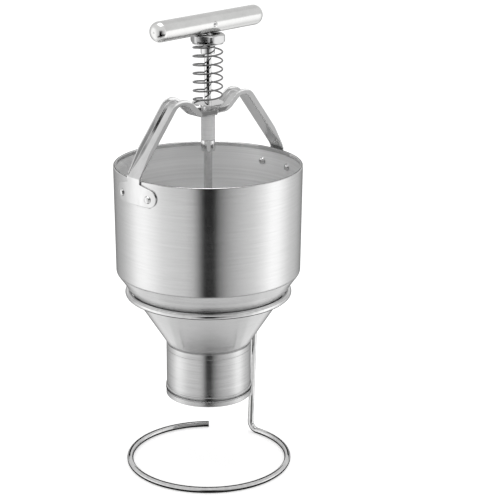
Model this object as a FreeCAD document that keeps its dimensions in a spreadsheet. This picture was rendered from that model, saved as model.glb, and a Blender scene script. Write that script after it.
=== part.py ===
import FreeCAD, Part
import math
import os
import re

import Sketcher
from FreeCAD import Placement, Rotation, Vector

# Batter dispenser on a wire stand, in millimetres.
# The stand carries a spun steel hopper with a round outlet neck. An arch of bent channel over the
# hopper guides a sprung plunger rod with a cross handle, and two discs on the rod portion the batter.
# Z is up and the arch runs along X. The origin is the middle of the stand's foot, on the table.

# Driving sizes, one cell each
drivingSizes = {
    # outlet tube
    "outletHeight": 72.5,
    "outletLength": 53.9,
    "outletBore": 39.2,
    "outletWall": 2.2,
    "brazeGap": 0.1,
    "grooveDrop": 4.5,
    "grooveWidth": 0.9,
    "grooveDepth": 0.4,
    "beadRise": 5.9,
    "beadWidth": 4.0,
    "beadDepth": 0.9,
    "beadRound": 0.8,
    "lipGap": 0.8,
    "lipDepth": 0.5,
    "lipRound": 0.5,
    # hopper
    "neckSeat": 0.6,
    "neckStep": 0.2,
    "spigotLength": 8.6,
    "coneHeight": 64.5,
    "chamferRise": 9.5,
    "chamferRun": 6.8,
    "wallHeight": 104.5,
    "wallTaper": 1.2,
    "hopperWall": 1.2,
    "rimRadius": 90.0,
    "rimRound": 0.6,
    "hemHeight": 4.0,
    "hemFold": 0.9,
    # wire stand
    "wireDiameter": 6.0,
    "ringInset": 4.4,
    "baseRingSpread": 1.15,
    "baseRingAngle": 320.2,
    "baseRingStartAngle": 8.9,
    "legBend": 9.0,
    "legLeanAngle": 2.2,
    "seatGap": 0.2,
    "weldGap": 0.05,
    # arch of bent channel
    "archRise": 47.7,
    "channelWidth": 18.2,
    "channelDepth": 5.5,
    "channelSheet": 1.5,
    "saddleFlat": 11.3,
    "valleyBend": 16.0,
    "valleyAngle": 41.0,
    "peakRise": 14.7,
    "peakBend": 10.0,
    "footBend": 1.5,
    "crossRise": 1.0,
    "flangeEnd": 3.3,
    "flangeSpace": 4.0,
    "tonguePlay": 0.4,
    "taperRise": 21.5,
    # foot plates and their rivets
    "footGap": 0.06,
    "footBelow": 7.3,
    "neckInset": 0.5,
    "neckDrop": 3.0,
    "lobeRadius": 8.4,
    "lobeOffset": 1.0,
    "rivetSpread": 18.0,
    "rivetDrop": 15.5,
    "rivetShank": 2.4,
    "rivetOver": 1.3,
    "rivetDome": 2.2,
    "rivetEdge": 0.3,
    "rivetPlay": 0.05,
    # guide bush, its nut and the lower spring seat
    "bushLength": 24.1,
    "bushShoulder": 1.74,
    "spigotWall": 1.6,
    "spigotShort": 0.6,
    "guideNutHeight": 7.2,
    "guideNutPlay": 0.7,
    "seatMargin": 1.4,
    "seatThickness": 1.5,
    "faceGap": 0.05,
    "runningGap": 0.06,
    # return spring
    "springRadius": 13.6,
    "springRoom": 55.35,
    "springWire": 1.9,
    "springTurns": 6.52,
    "springStartAngle": 70.4,
    "springGap": 0.15,
    # plunger rod and stop collar
    "rodUpper": 3.25,
    "rodStep": 0.75,
    "rodInHandle": 5.0,
    "rodInAcorn": 9.0,
    "fitGap": 0.03,
    "collarWall": 3.42,
    "collarHeight": 10.8,
    "collarRound": 0.6,
    # spring cup, adjusting nut and cross handle
    "cupMargin": 0.8,
    "cupThickness": 0.8,
    "cupWall": 3.4,
    "cupDrop": 9.3,
    "nutFlats": 29.8,
    "nutHeight": 8.25,
    "nutAngle": 3.7,
    "nutFootInset": 0.5,
    "nutFootRise": 2.4,
    "nutCrownInset": 0.7,
    "nutCrownDrop": 1.1,
    "handleGap": 0.3,
    "handleRadius": 9.5,
    "handleLength": 144.0,
    "handleRound": 7.6,
    "handleAngle": 6.5,
    "screwRadius": 2.2,
    "screwInset": 0.5,
    "socketFlats": 2.2,
    "socketDepth": 2.0,
    # piston, cutter and what clamps them on the rod
    "pistonPlay": 0.7,
    "pistonRise": 6.0,
    "pistonThickness": 8.0,
    "pistonRound": 0.6,
    "sealPlay": 0.3,
    "sealHeight": 3.0,
    "sealDepth": 2.0,
    "sealRound": 0.8,
    "spacerWall": 3.0,
    "cutterPlay": 0.4,
    "cutterInset": 2.0,
    "cutterEdge": 3.0,
    "cutterRise": 9.5,
    "cutterHub": 2.0,
    "smallFlats": 13.0,
    "smallNutHeight": 6.5,
    "washerMargin": 2.5,
    "washerThickness": 1.6,
    "acornHex": 6.0,
    "acornHeight": 11.0,
    "acornInset": 0.7,
    "acornRound": 4.2,
}

# Radii and heights that follow from the driving sizes, from the outlet's lip up
workedSizes = {
    "outletTop": "outletHeight + outletLength",
    "outletRadius": "outletBore + outletWall",
    "spigotRadius": "outletBore + hopperWall",
    "counterbore": "spigotRadius + brazeGap",
    "beadFoot": "outletHeight + beadRise",
    "neckHeight": "outletTop + neckSeat",
    "neckRadius": "spigotRadius + neckStep",
    "spigotFoot": "neckHeight - spigotLength",
    "chamferHeight": "neckHeight + coneHeight",
    "shoulderHeight": "chamferHeight + chamferRise",
    "rimHeight": "shoulderHeight + wallHeight",
    "shoulderRadius": "rimRadius - wallTaper",
    "chamferRadius": "shoulderRadius - chamferRun",
    "coneSlant": "sqrt((chamferRadius - neckRadius)^2 + coneHeight^2)",
    "coneUp": "coneHeight / coneSlant",
    "coneOut": "(chamferRadius - neckRadius) / coneSlant",
    "coneWall": "hopperWall / coneUp",
    "wireRadius": "wireDiameter / 2",
    "supportRingRadius": "chamferRadius - ringInset",
    "ringReach": "(supportRingRadius - neckRadius) * coneUp - wireRadius - seatGap",
    "supportRingHeight": "neckHeight + ringReach / coneOut",
    "baseRingRadius": "supportRingRadius + baseRingSpread",
    "saddleHeight": "rimHeight + archRise",
    "peakHeight": "saddleHeight + peakRise",
    "webTop": "saddleHeight + 2 * channelSheet",
    "channelInside": "channelWidth / 2 - channelSheet",
    "footInner": "rimRadius + footGap",
    "footOuter": "footInner + channelSheet",
    "footBottom": "rimHeight - rivetDrop - footBelow",
    "rivetHeight": "rimHeight - rivetDrop",
    "rivetHead": "rivetShank + rivetOver",
    "rivetRound": "rivetDome - rivetEdge",
    "wallAtRivets": "rimRadius - wallTaper * (rivetDrop + rivetHead) / wallHeight",
    "bushBore": "rodUpper + runningGap",
    "bushSpigot": "bushBore + spigotWall",
    "bushRadius": "bushSpigot + bushShoulder",
    "bushBottom": "saddleHeight - bushLength",
    "guideNutTop": "webTop + guideNutHeight",
    "guideNutRadius": "channelInside - guideNutPlay",
    "seatFloor": "guideNutTop + faceGap",
    "seatTop": "seatFloor + seatThickness",
    "seatRadius": "springRadius + seatMargin",
    "cupHeight": "seatTop + springRoom",
    "cupTop": "cupHeight + cupThickness",
    "cupFlange": "springRadius + cupMargin",
    "cupBoss": "bushBore + cupWall",
    "springFloor": "seatTop + springGap + springWire / 2",
    "springCeiling": "cupHeight - springGap - springWire / 2",
    "nutFloor": "cupTop + faceGap",
    "nutTop": "nutFloor + nutHeight",
    "nutCorner": "nutFlats / 2 / cos(30)",
    "nutReach": "nutCorner + runningGap",
    "nutFootRadius": "nutFlats / 2 - nutFootInset",
    "nutCrownRadius": "nutFlats / 2 - nutCrownInset",
    "nutFootCone": "nutFootRise * (nutReach - nutFootRadius) / (nutCorner - nutFootRadius)",
    "nutCrownCone": "nutCrownDrop * (nutReach - nutCrownRadius) / (nutCorner - nutCrownRadius)",
    "handleHeight": "nutTop + handleGap + handleRadius",
    "rodTop": "handleHeight + rodInHandle",
    "rodLower": "rodUpper + rodStep",
    "upperBore": "rodUpper + fitGap",
    "lowerBore": "rodLower + fitGap",
    "collarTop": "bushBottom - faceGap",
    "collarFloor": "collarTop - collarHeight",
    "collarRadius": "upperBore + collarWall",
    "pistonBottom": "neckHeight + pistonRise",
    "pistonTop": "pistonBottom + pistonThickness",
    "pistonRadius": "outletBore - pistonPlay",
    "sealFloor": "pistonBottom + (pistonThickness - sealHeight) / 2",
    "sealFoot": "pistonRadius - sealDepth",
    "sealRadius": "outletBore - sealPlay",
    "spacerRadius": "lowerBore + spacerWall",
    "cutterBottom": "outletHeight + cutterInset",
    "cutterTop": "cutterBottom + cutterRise",
    "cutterRadius": "outletBore - cutterPlay",
    "washerRadius": "smallFlats / 2 / cos(30) + washerMargin",
    "acornTop": "cutterBottom - washerThickness",
    "acornFloor": "acornTop - acornHeight",
    "acornRadius": "smallFlats / 2 - acornInset",
    "rodBottom": "acornTop - rodInAcorn",
}

doc = FreeCAD.newDocument("BatterDispenser")
sizesSheet = doc.addObject("Spreadsheet::Sheet", "Sizes")
workedSheet = doc.addObject("Spreadsheet::Sheet", "Worked")
places = {}


# The sheet's name put before each size in an expression
def named(expression):
    return re.sub(r"[A-Za-z]\w*", lambda word: places.get(word.group(), word.group()), expression)


# The number that an expression of sizes comes to
def size(expression):
    value = workedSheet.evalExpression(named(expression))
    return float(getattr(value, "Value", value))


for row, (alias, number) in enumerate(drivingSizes.items(), start=1):
    sizesSheet.set(f"A{row}", alias)
    sizesSheet.set(f"B{row}", str(number))
    sizesSheet.setAlias(f"B{row}", alias)
    places[alias] = f"Sizes.{alias}"
doc.recompute()
for row, (alias, expression) in enumerate(workedSizes.items(), start=1):
    workedSheet.set(f"A{row}", alias)
    workedSheet.set(f"B{row}", "=" + named(expression))
    workedSheet.setAlias(f"B{row}", alias)
    doc.recompute()
    places[alias] = f"Worked.{alias}"

partNodes = []


# A finished piece takes its own name and joins the list
def keep(piece, label):
    piece.Label = label
    partNodes.append(piece)
    return piece


# One corner of an outline held at its distance from the axis or the floor
def hold(sketch, corner, kind, expression):
    if expression == "0":
        sketch.addConstraint(Sketcher.Constraint("PointOnObject", corner, 1, -2))
        return
    index = sketch.addConstraint(Sketcher.Constraint(kind, -1, 1, corner, 1, size(expression)))
    name = f"{kind}{corner}"
    sketch.renameConstraint(index, name)
    sketch.setExpression(f"Constraints.{name}", named(expression))


# A closed outline of straight lines on the body's upright plane
def uprightOutline(body, outline):
    sketch = body.newObject("Sketcher::SketchObject", body.Name + "Outline")
    plane = next(item for item in body.Origin.OriginFeatures if item.Role == "XZ_Plane")
    sketch.AttachmentSupport = [(plane, "")]
    sketch.MapMode = "FlatFace"
    corners = [Vector(size(across), size(up), 0) for across, up in outline]
    count = len(corners)
    for index in range(count):
        sketch.addGeometry(Part.LineSegment(corners[index], corners[(index + 1) % count]), False)
    for index in range(count):
        sketch.addConstraint(Sketcher.Constraint("Coincident", index, 2, (index + 1) % count, 1))
    for index, (across, up) in enumerate(outline):
        hold(sketch, index, "DistanceX", across)
        hold(sketch, index, "DistanceY", up)
    return sketch


# The round edge at one corner of a turned outline
def roundEdge(shape, across, up):
    for number, edge in enumerate(shape.Edges, start=1):
        box = edge.BoundBox
        flat = abs(box.ZMax - box.ZMin) < 1e-4 and abs(box.ZMax - up) < 1e-3
        if flat and abs(box.XMax - across) < 1e-3 and abs(box.XMin + across) < 1e-3:
            return f"Edge{number}"
    raise ValueError(f"no round edge at {across}, {up}")


# A body turned about Z from corners given as (radius, height), with some of its edges rounded
def turned(name, outline, rounds=()):
    body = doc.addObject("PartDesign::Body", name)
    sketch = uprightOutline(body, outline)
    turn = body.newObject("PartDesign::Revolution", name + "Turn")
    turn.Profile = sketch
    turn.ReferenceAxis = (sketch, ["V_Axis"])
    turn.Angle = 360
    body.Tip = turn
    sketch.Visibility = False
    doc.recompute()
    for corner, radius in rounds:
        across, up = outline[corner]
        last = body.Tip
        soft = body.newObject("PartDesign::Fillet", f"{name}Round{corner}")
        soft.Base = (last, [roundEdge(last.Shape, size(across), size(up))])
        soft.setExpression("Radius", named(radius))
        body.Tip = soft
        doc.recompute()
    return body


# A plain ring between two radii and two heights
def ring(name, inner, outer, floor, ceiling):
    return turned(name, [(inner, floor), (outer, floor), (outer, ceiling), (inner, ceiling)])


# A round bar along Z, or along the direction given, as a cutting tool or a blank
def roundBar(name, radius, length, base=Vector(), direction=Vector(0, 0, 1)):
    bar = doc.addObject("Part::Cylinder", name)
    bar.setExpression("Radius", named(radius))
    bar.setExpression("Height", named(length))
    bar.Placement = Placement(base, Rotation(Vector(0, 0, 1), direction))
    return bar


# A six-sided prism standing on a given height
def hexagon(name, flats, floor, height, turn="0"):
    prism = doc.addObject("Part::Prism", name)
    prism.Polygon = 6
    prism.setExpression("Circumradius", named(f"{flats} / 2 / cos(30)"))
    prism.setExpression("Height", named(height))
    prism.Placement = Placement(Vector(0, 0, size(floor)), Rotation(Vector(0, 0, 1), size(turn)))
    return prism


# One solid left of another, cut by one or more tools
def cut(name, base, tools):
    tool = tools[0]
    if len(tools) > 1:
        tool = doc.addObject("Part::MultiFuse", name + "Tools")
        tool.Shapes = tools
    result = doc.addObject("Part::Cut", name)
    result.Base = base
    result.Tool = tool
    return result


# What two solids share
def common(name, first, second):
    result = doc.addObject("Part::Common", name)
    result.Base = first
    result.Tool = second
    return result


# A piece whose shape is worked out in the code from the sheet's sizes
def worked(name, shape):
    piece = doc.addObject("Part::Feature", name)
    piece.Shape = shape
    piece.Placement = Placement()
    return piece


# The arc that leaves start towards corner and arrives at end
def cornerArc(start, corner, end):
    middle = (start + end) * 0.5
    halfChord = (end - start).Length / 2
    rise = corner - middle
    turning = 2 * math.atan2(rise.Length, halfChord)
    onArc = middle + rise.normalize() * (halfChord * math.tan(turning / 4))
    return Part.Arc(start, onArc, end).toShape()


# The ends of an arc of a given radius that rounds the corner between two directions
def cornerEnds(corner, before, after, radius):
    reach = radius * math.tan(before.getAngle(after) / 2)
    return corner - before * reach, corner + after * reach


# A round tube along a smooth path
def tube(path, radius):
    first = path[0]
    start = first.valueAt(first.FirstParameter)
    heading = first.tangentAt(first.FirstParameter)
    circle = Part.Wire([Part.Circle(start, heading, radius).toShape()])
    return Part.Wire(path).makePipeShell([circle], True, False)


# Wire stand: the base ring, its bend and the leg are one wire
def baseWire():
    radius = size("baseRingRadius")
    level = size("wireRadius")
    first = math.radians(size("baseRingStartAngle"))
    turn = math.radians(size("baseRingAngle"))

    def onRing(angle):
        return Vector(radius * math.cos(angle), radius * math.sin(angle), level)

    heading = Vector(math.sin(first), -math.cos(first), 0)
    lean = math.radians(size("legLeanAngle"))
    upward = Vector(0, 0, 1) * math.cos(lean) + heading * math.sin(lean)
    start = onRing(first)
    bend = size("legBend")
    reach = bend * math.tan((math.pi / 2 + lean) / 2)
    corner = start - heading * reach
    bendTop = corner + upward * reach
    legTop = corner + upward * ((size("supportRingHeight") - level) / math.cos(lean))
    path = [Part.LineSegment(legTop, bendTop).toShape(), cornerArc(bendTop, corner, start)]
    arcs = 4
    for index in range(arcs):
        near = first - turn * index / arcs
        far = first - turn * (index + 1) / arcs
        path.append(Part.Arc(onRing(near), onRing((near + far) / 2), onRing(far)).toShape())
    wire = tube(path, size("wireRadius"))
    weld = Part.makeTorus(size("supportRingRadius"), size("wireRadius + weldGap"))
    weld.translate(Vector(0, 0, size("supportRingHeight")))
    side = 2 * size("wireDiameter")
    above = Part.makeBox(side, side, side, legTop - Vector(side / 2, side / 2, 0))
    return wire.cut(weld).cut(above)


standWire = worked("BaseWire", max(baseWire().Solids, key=lambda solid: solid.Volume))
keep(standWire, "base_wire")

supportRing = doc.addObject("Part::Torus", "SupportRing")
supportRing.setExpression("Radius1", named("supportRingRadius"))
supportRing.setExpression("Radius2", named("wireRadius"))
supportRing.setExpression("Placement.Base.z", named("supportRingHeight"))
keep(supportRing, "support_ring")

# Directions from the axis to the four rivets
rivetSide = math.degrees(math.asin(size("rivetSpread / rimRadius")))
rivetAngles = {"left": (180 - rivetSide, 180 + rivetSide), "right": (-rivetSide, rivetSide)}


def outward(angle):
    return Vector(math.cos(math.radians(angle)), math.sin(math.radians(angle)), 0)


# The holes that one side's rivets pass through
def rivetHoles(name, side):
    tools = []
    for index, angle in enumerate(rivetAngles[side]):
        inside = outward(angle) * size("rimRadius - 10 * hopperWall")
        base = inside + Vector(0, 0, size("rivetHeight"))
        tools.append(roundBar(f"{name}{index}", "rivetShank + rivetPlay", "20 * hopperWall", base, outward(angle)))
    return tools


# Hopper: hemmed rim, tapered wall, chamfer, cone and a short spigot
hopperBlank = turned(
    "HopperBlank",
    [
        ("rimRadius - hopperWall - hemFold", "rimHeight"),
        ("rimRadius", "rimHeight"),
        ("shoulderRadius", "shoulderHeight"),
        ("chamferRadius", "chamferHeight"),
        ("neckRadius", "neckHeight"),
        ("spigotRadius", "neckHeight"),
        ("spigotRadius", "spigotFoot"),
        ("outletBore", "spigotFoot"),
        ("outletBore", "neckHeight"),
        ("chamferRadius - coneWall", "chamferHeight"),
        ("shoulderRadius - hopperWall", "shoulderHeight"),
        ("rimRadius - hopperWall", "rimHeight - hemHeight"),
        ("rimRadius - hopperWall - hemFold", "rimHeight - hemHeight"),
    ],
    [(0, "rimRound"), (1, "rimRound")],
)
hopperHoles = rivetHoles("HopperHoleLeft", "left") + rivetHoles("HopperHoleRight", "right")
keep(cut("HopperShell", hopperBlank, hopperHoles), "hopper_shell")

# Outlet tube: counterbored over the spigot, with a groove, a bead and a slightly thicker lip
outletTube = turned(
    "OutletTube",
    [
        ("counterbore", "outletTop"),
        ("outletRadius", "outletTop"),
        ("outletRadius", "outletTop - grooveDrop"),
        ("outletRadius - grooveDepth", "outletTop - grooveDrop"),
        ("outletRadius - grooveDepth", "outletTop - grooveDrop - grooveWidth"),
        ("outletRadius", "outletTop - grooveDrop - grooveWidth"),
        ("outletRadius", "beadFoot + beadWidth"),
        ("outletRadius + beadDepth", "beadFoot + beadWidth"),
        ("outletRadius + beadDepth", "beadFoot"),
        ("outletRadius", "beadFoot"),
        ("outletRadius", "beadFoot - lipGap"),
        ("outletRadius + lipDepth", "beadFoot - lipGap"),
        ("outletRadius + lipDepth", "outletHeight"),
        ("outletBore", "outletHeight"),
        ("outletBore", "spigotFoot - brazeGap"),
        ("counterbore", "spigotFoot - brazeGap"),
    ],
    [(7, "beadRound"), (8, "beadRound"), (12, "lipRound")],
)
keep(outletTube, "outlet_tube")


# The arch's peak: its bend's centre and how far the bend turns before the leg runs down to the rim
def archPeak():
    rise = math.radians(size("valleyAngle"))
    bend = size("peakBend")
    climb = size("peakRise") - (size("valleyBend") + bend) * (1 - math.cos(rise))
    across = size("saddleFlat") + (size("valleyBend") + bend) * math.sin(rise) + climb / math.tan(rise)
    centre = Vector(across, 0, size("peakHeight") - bend)
    crossing = Vector(size("footInner"), 0, size("rimHeight + crossRise"))
    reach = crossing - centre
    turn = math.atan2(reach.x, reach.z) - math.acos(bend / reach.Length)
    return centre, rise, turn, crossing


# A line at an offset above the arm's underside: saddle, valley, peak, leg and the bend into the foot
def armPath(saddle, offset):
    centre, rise, turn, crossing = archPeak()
    flat = size("saddleFlat") + (saddle - size("saddleHeight")) / math.tan(rise)
    valleyBend = size("valleyBend")
    valleyCentre = Vector(flat, 0, saddle + valleyBend)

    def around(middle, angle, radius):
        return middle + Vector(math.sin(angle), 0, math.cos(angle)) * radius

    inner = valleyBend - offset
    outer = size("peakBend") + offset
    start = Vector(0, 0, saddle + offset)
    flatEnd = Vector(flat, 0, saddle + offset)
    valleyEnd = around(valleyCentre, math.pi - rise, inner)
    downhill = Vector(math.cos(turn), 0, -math.sin(turn))
    corner = crossing + Vector(offset, 0, offset * math.tan(turn / 2))
    footStart, footEnd = cornerEnds(corner, downhill, Vector(0, 0, -1), size("footBend") + offset)
    bottom = Vector(corner.x, 0, size("rimHeight - neckDrop"))
    edges = [
        Part.LineSegment(start, flatEnd).toShape(),
        Part.Arc(flatEnd, around(valleyCentre, math.pi - rise / 2, inner), valleyEnd).toShape(),
        Part.LineSegment(valleyEnd, around(centre, -rise, outer)).toShape(),
        Part.Arc(
            around(centre, -rise, outer),
            around(centre, (turn - rise) / 2, outer),
            around(centre, turn, outer),
        ).toShape(),
        Part.LineSegment(around(centre, turn, outer), footStart).toShape(),
        cornerArc(footStart, corner, footEnd),
        Part.LineSegment(footEnd, bottom).toShape(),
    ]
    return edges, start, bottom


# A band between the arm's underside and an offset above it, between two distances along Y
def armBand(saddle, depth, low, high):
    below, belowStart, belowEnd = armPath(saddle, 0)
    above, aboveStart, aboveEnd = armPath(saddle, depth)
    sides = [
        Part.LineSegment(belowEnd, aboveEnd).toShape(),
        Part.LineSegment(aboveStart, belowStart).toShape(),
    ]
    outline = Part.Wire(Part.__sortEdges__(below + above + sides))
    band = Part.Face(outline).extrude(Vector(0, high - low, 0))
    band.translate(Vector(0, low, 0))
    return band


# The foot plate wraps the hopper's wall: a neck that widens to two round lobes
def footPlate():
    sheet = size("channelSheet")
    bottom = size("footBottom")
    top = size("rimHeight")
    neck = size("channelWidth / 2 - neckInset")
    lobe = size("lobeRadius")
    centre = Vector(0, size("rivetSpread + lobeOffset"), bottom + lobe)
    shoulder = Vector(0, neck, size("rimHeight - neckDrop"))
    toShoulder = shoulder - centre
    angle = math.atan2(toShoulder.z, toShoulder.y) - math.acos(lobe / toShoulder.Length)

    def onLobe(turn, side):
        return Vector(0, side * (centre.y + lobe * math.cos(turn)), centre.z + lobe * math.sin(turn))

    def mirrored(point):
        return Vector(0, -point.y, point.z)

    down = -math.pi / 2
    middle = (angle + down) / 2
    crown = Vector(0, neck, top)
    edges = [
        Part.LineSegment(crown, shoulder).toShape(),
        Part.LineSegment(shoulder, onLobe(angle, 1)).toShape(),
        Part.Arc(onLobe(angle, 1), onLobe(middle, 1), onLobe(down, 1)).toShape(),
        Part.LineSegment(onLobe(down, 1), onLobe(down, -1)).toShape(),
        Part.Arc(onLobe(down, -1), onLobe(middle, -1), onLobe(angle, -1)).toShape(),
        Part.LineSegment(onLobe(angle, -1), mirrored(shoulder)).toShape(),
        Part.LineSegment(mirrored(shoulder), mirrored(crown)).toShape(),
        Part.LineSegment(mirrored(crown), crown).toShape(),
    ]
    block = Part.Face(Part.Wire(edges)).extrude(Vector(2 * size("rimRadius"), 0, 0))
    height = top - bottom + 2 * sheet
    foot = Vector(0, 0, bottom - sheet)
    shell = Part.makeCylinder(size("footOuter"), height, foot)
    shell = shell.cut(Part.makeCylinder(size("footInner"), height, foot))
    return shell.common(block)


# What the flanges lose on their way down to the rim, where they taper to nothing
def flangeTaper():
    sheet = size("channelSheet")
    centre, rise, turn, crossing = archPeak()
    uphill = Vector(-math.cos(turn), 0, math.sin(turn))
    square = Vector(math.sin(turn), 0, math.cos(turn))
    foot = Vector(size("footOuter"), 0, crossing.z)
    start = foot + uphill * (size("taperRise") / math.sin(turn)) + square * (size("channelDepth") - sheet)
    width = 2 * size("channelWidth")
    outside = Vector(foot.x + width, 0, start.z)
    corners = [
        start,
        outside,
        Vector(outside.x, 0, size("footBottom")),
        Vector(crossing.x, 0, size("footBottom")),
        Vector(crossing.x, 0, crossing.z),
        foot,
        start,
    ]
    taper = Part.Face(Part.makePolygon(corners)).extrude(Vector(0, width, 0))
    taper.translate(Vector(0, -width / 2, 0))
    return taper


# One arm along +X: web, two flanges that taper off above the rim, a tongue past the bush, a foot plate
def archArm(saddle, flangeFrom, tongueHalf):
    half = size("channelWidth / 2")
    sheet = size("channelSheet")
    depth = size("channelDepth")
    web = armBand(saddle, sheet, -half, half)
    flanges = [armBand(saddle, depth, low, low + sheet) for low in (-half, half - sheet)]
    tongue = Part.makeCylinder(tongueHalf, sheet, Vector(0, 0, saddle))
    beside = abs(flangeFrom)
    if flangeFrom > 0:
        before = Part.makeBox(beside, 2 * half, 2 * depth, Vector(0, -half, saddle - depth / 2))
        web = web.cut(before)
        flanges = [flange.cut(before) for flange in flanges]
        tongue = tongue.fuse(Part.makeBox(beside, 2 * tongueHalf, sheet, Vector(0, -tongueHalf, saddle)))
    else:
        lows = (-half, half - sheet)
        flanges += [Part.makeBox(beside, sheet, depth, Vector(-beside, low, saddle)) for low in lows]
        tongue = tongue.fuse(Part.makeBox(beside, 2 * half, sheet, Vector(-beside, -half, saddle)))
    taper = flangeTaper()
    arm = web.fuse([tongue, footPlate()] + [flange.cut(taper) for flange in flanges])
    hole = Part.makeCylinder(size("bushSpigot + rivetPlay"), 4 * depth, Vector(0, 0, saddle - depth))
    return arm.cut(hole).removeSplitter()


# The left arm turns to face -X, and its web lies under the right arm's tongue where they meet
rightSaddle = size("saddleHeight + channelSheet")
rightTongue = size("channelInside - tonguePlay")
arms = {
    "left": (math.pi, archArm(size("saddleHeight"), -size("flangeEnd"), size("channelWidth / 2"))),
    "right": (0, archArm(rightSaddle, size("flangeEnd + flangeSpace"), rightTongue)),
}
for side, (facing, shape) in arms.items():
    blank = worked(f"ArmBlank{side.title()}", shape)
    blank.Placement = Placement(Vector(), Rotation(Vector(0, 0, 1), math.degrees(facing)))
    arm = cut(f"ArchArm{side.title()}", blank, rivetHoles(f"ArmHole{side.title()}", side))
    keep(arm, f"arch_arm_{side}")


# A rivet along Z through the wall and the foot plate, domed at both ends
def rivet(name, angle):
    inner = "wallAtRivets - hopperWall - rivetPlay - rivetDome"
    outer = "footOuter + rivetPlay + rivetDome"
    body = turned(
        name,
        [
            ("0", inner),
            ("rivetHead", inner),
            ("rivetHead", f"{inner} + rivetDome"),
            ("rivetShank", f"{inner} + rivetDome"),
            ("rivetShank", f"{outer} - rivetDome"),
            ("rivetHead", f"{outer} - rivetDome"),
            ("rivetHead", outer),
            ("0", outer),
        ],
        [(1, "rivetRound"), (6, "rivetRound")],
    )
    body.Placement = Placement(Vector(0, 0, size("rivetHeight")), Rotation(Vector(0, 0, 1), outward(angle)))
    return body


for side, angles in rivetAngles.items():
    pair = doc.addObject("Part::Compound", f"Rivets{side.title()}")
    pair.Links = [rivet(f"Rivet{side.title()}{index}", angle) for index, angle in enumerate(angles)]
    keep(pair, f"rivets_{side}")

# Guide bush: a plain barrel under the saddle, its spigot clamped by a round nut
guideBush = turned(
    "GuideBush",
    [
        ("bushBore", "bushBottom"),
        ("bushRadius", "bushBottom"),
        ("bushRadius", "saddleHeight"),
        ("bushSpigot", "saddleHeight"),
        ("bushSpigot", "guideNutTop - spigotShort"),
        ("bushBore", "guideNutTop - spigotShort"),
    ],
)
keep(guideBush, "guide_bush")
keep(ring("GuideNut", "bushSpigot + rivetPlay", "guideNutRadius", "webTop", "guideNutTop"), "guide_nut")
keep(ring("SpringSeat", "bushBore", "seatRadius", "seatFloor", "seatTop"), "spring_seat")


# Return spring: a right-handed helix of round wire, each quarter turn a pair of tangent arcs
def springPoint(turns):
    angle = math.radians(size("springStartAngle")) + 2 * math.pi * turns
    height = size("springFloor") + turns * springPitch
    return Vector(size("springRadius") * math.cos(angle), size("springRadius") * math.sin(angle), height)


def springHeading(turns):
    angle = math.radians(size("springStartAngle")) + 2 * math.pi * turns
    along = Vector(-math.sin(angle), math.cos(angle), 0) * (2 * math.pi * size("springRadius"))
    return (along + Vector(0, 0, springPitch)).normalize()


# Two arcs from one point and heading to the next, tangent where they meet
def biarc(start, heading, end, arrival):
    gap = end - start
    both = heading + arrival
    square = 2 * heading.dot(arrival) - 2
    reach = (gap.dot(both) - math.sqrt(gap.dot(both) ** 2 - square * gap.dot(gap))) / square
    first = start + heading * reach
    second = end - arrival * reach
    meeting = (first + second) * 0.5
    return [cornerArc(start, first, meeting), cornerArc(meeting, second, end)]


springPitch = (size("springCeiling") - size("springFloor")) / size("springTurns")
quarters = math.ceil(size("springTurns") * 4)
stations = [size("springTurns") * index / quarters for index in range(quarters + 1)]
springPath = []
for before, after in zip(stations, stations[1:]):
    springPath += biarc(springPoint(before), springHeading(before), springPoint(after), springHeading(after))
returnSpring = worked("ReturnSpring", tube(springPath, size("springWire / 2")))
keep(returnSpring, "return_spring")

samples = [springPoint(size("springTurns") * index / 600) for index in range(601)]
apart = round(600 / size("springTurns") / 2)
leastGap = min(
    (samples[first] - samples[second]).Length
    for first in range(len(samples))
    for second in range(first + apart, len(samples))
) - size("springWire")
print(f"return spring: least gap to itself {leastGap:.2f} mm")

# Plunger rod: thinner above the collar that stops it against the bush
plungerRod = turned(
    "PlungerRod",
    [
        ("0", "rodBottom"),
        ("rodLower", "rodBottom"),
        ("rodLower", "collarFloor"),
        ("rodUpper", "collarFloor"),
        ("rodUpper", "rodTop"),
        ("0", "rodTop"),
    ],
)
keep(plungerRod, "plunger_rod")
stopCollar = turned(
    "StopCollar",
    [
        ("upperBore", "collarFloor"),
        ("collarRadius", "collarFloor"),
        ("collarRadius", "collarTop"),
        ("upperBore", "collarTop"),
    ],
    [(1, "collarRound"), (2, "collarRound")],
)
keep(stopCollar, "stop_collar")

# Spring cup: a thin flange that the spring pushes up and a boss that centres it
springCup = turned(
    "SpringCup",
    [
        ("bushBore", "cupHeight - cupDrop"),
        ("cupBoss", "cupHeight - cupDrop"),
        ("cupBoss", "cupHeight"),
        ("cupFlange", "cupHeight"),
        ("cupFlange", "cupTop"),
        ("bushBore", "cupTop"),
    ],
)
keep(springCup, "spring_cup")

# Adjusting nut: a hexagon with a coned foot and crown
nutBlank = turned(
    "NutBlank",
    [
        ("bushBore", "nutFloor"),
        ("nutFootRadius", "nutFloor"),
        ("nutReach", "nutFloor + nutFootCone"),
        ("nutReach", "nutTop - nutCrownCone"),
        ("nutCrownRadius", "nutTop"),
        ("bushBore", "nutTop"),
    ],
)
nutPrism = hexagon("NutPrism", "nutFlats", "nutFloor", "nutHeight", "nutAngle")
keep(common("AdjustingNut", nutPrism, nutBlank), "adjusting_nut")

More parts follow.
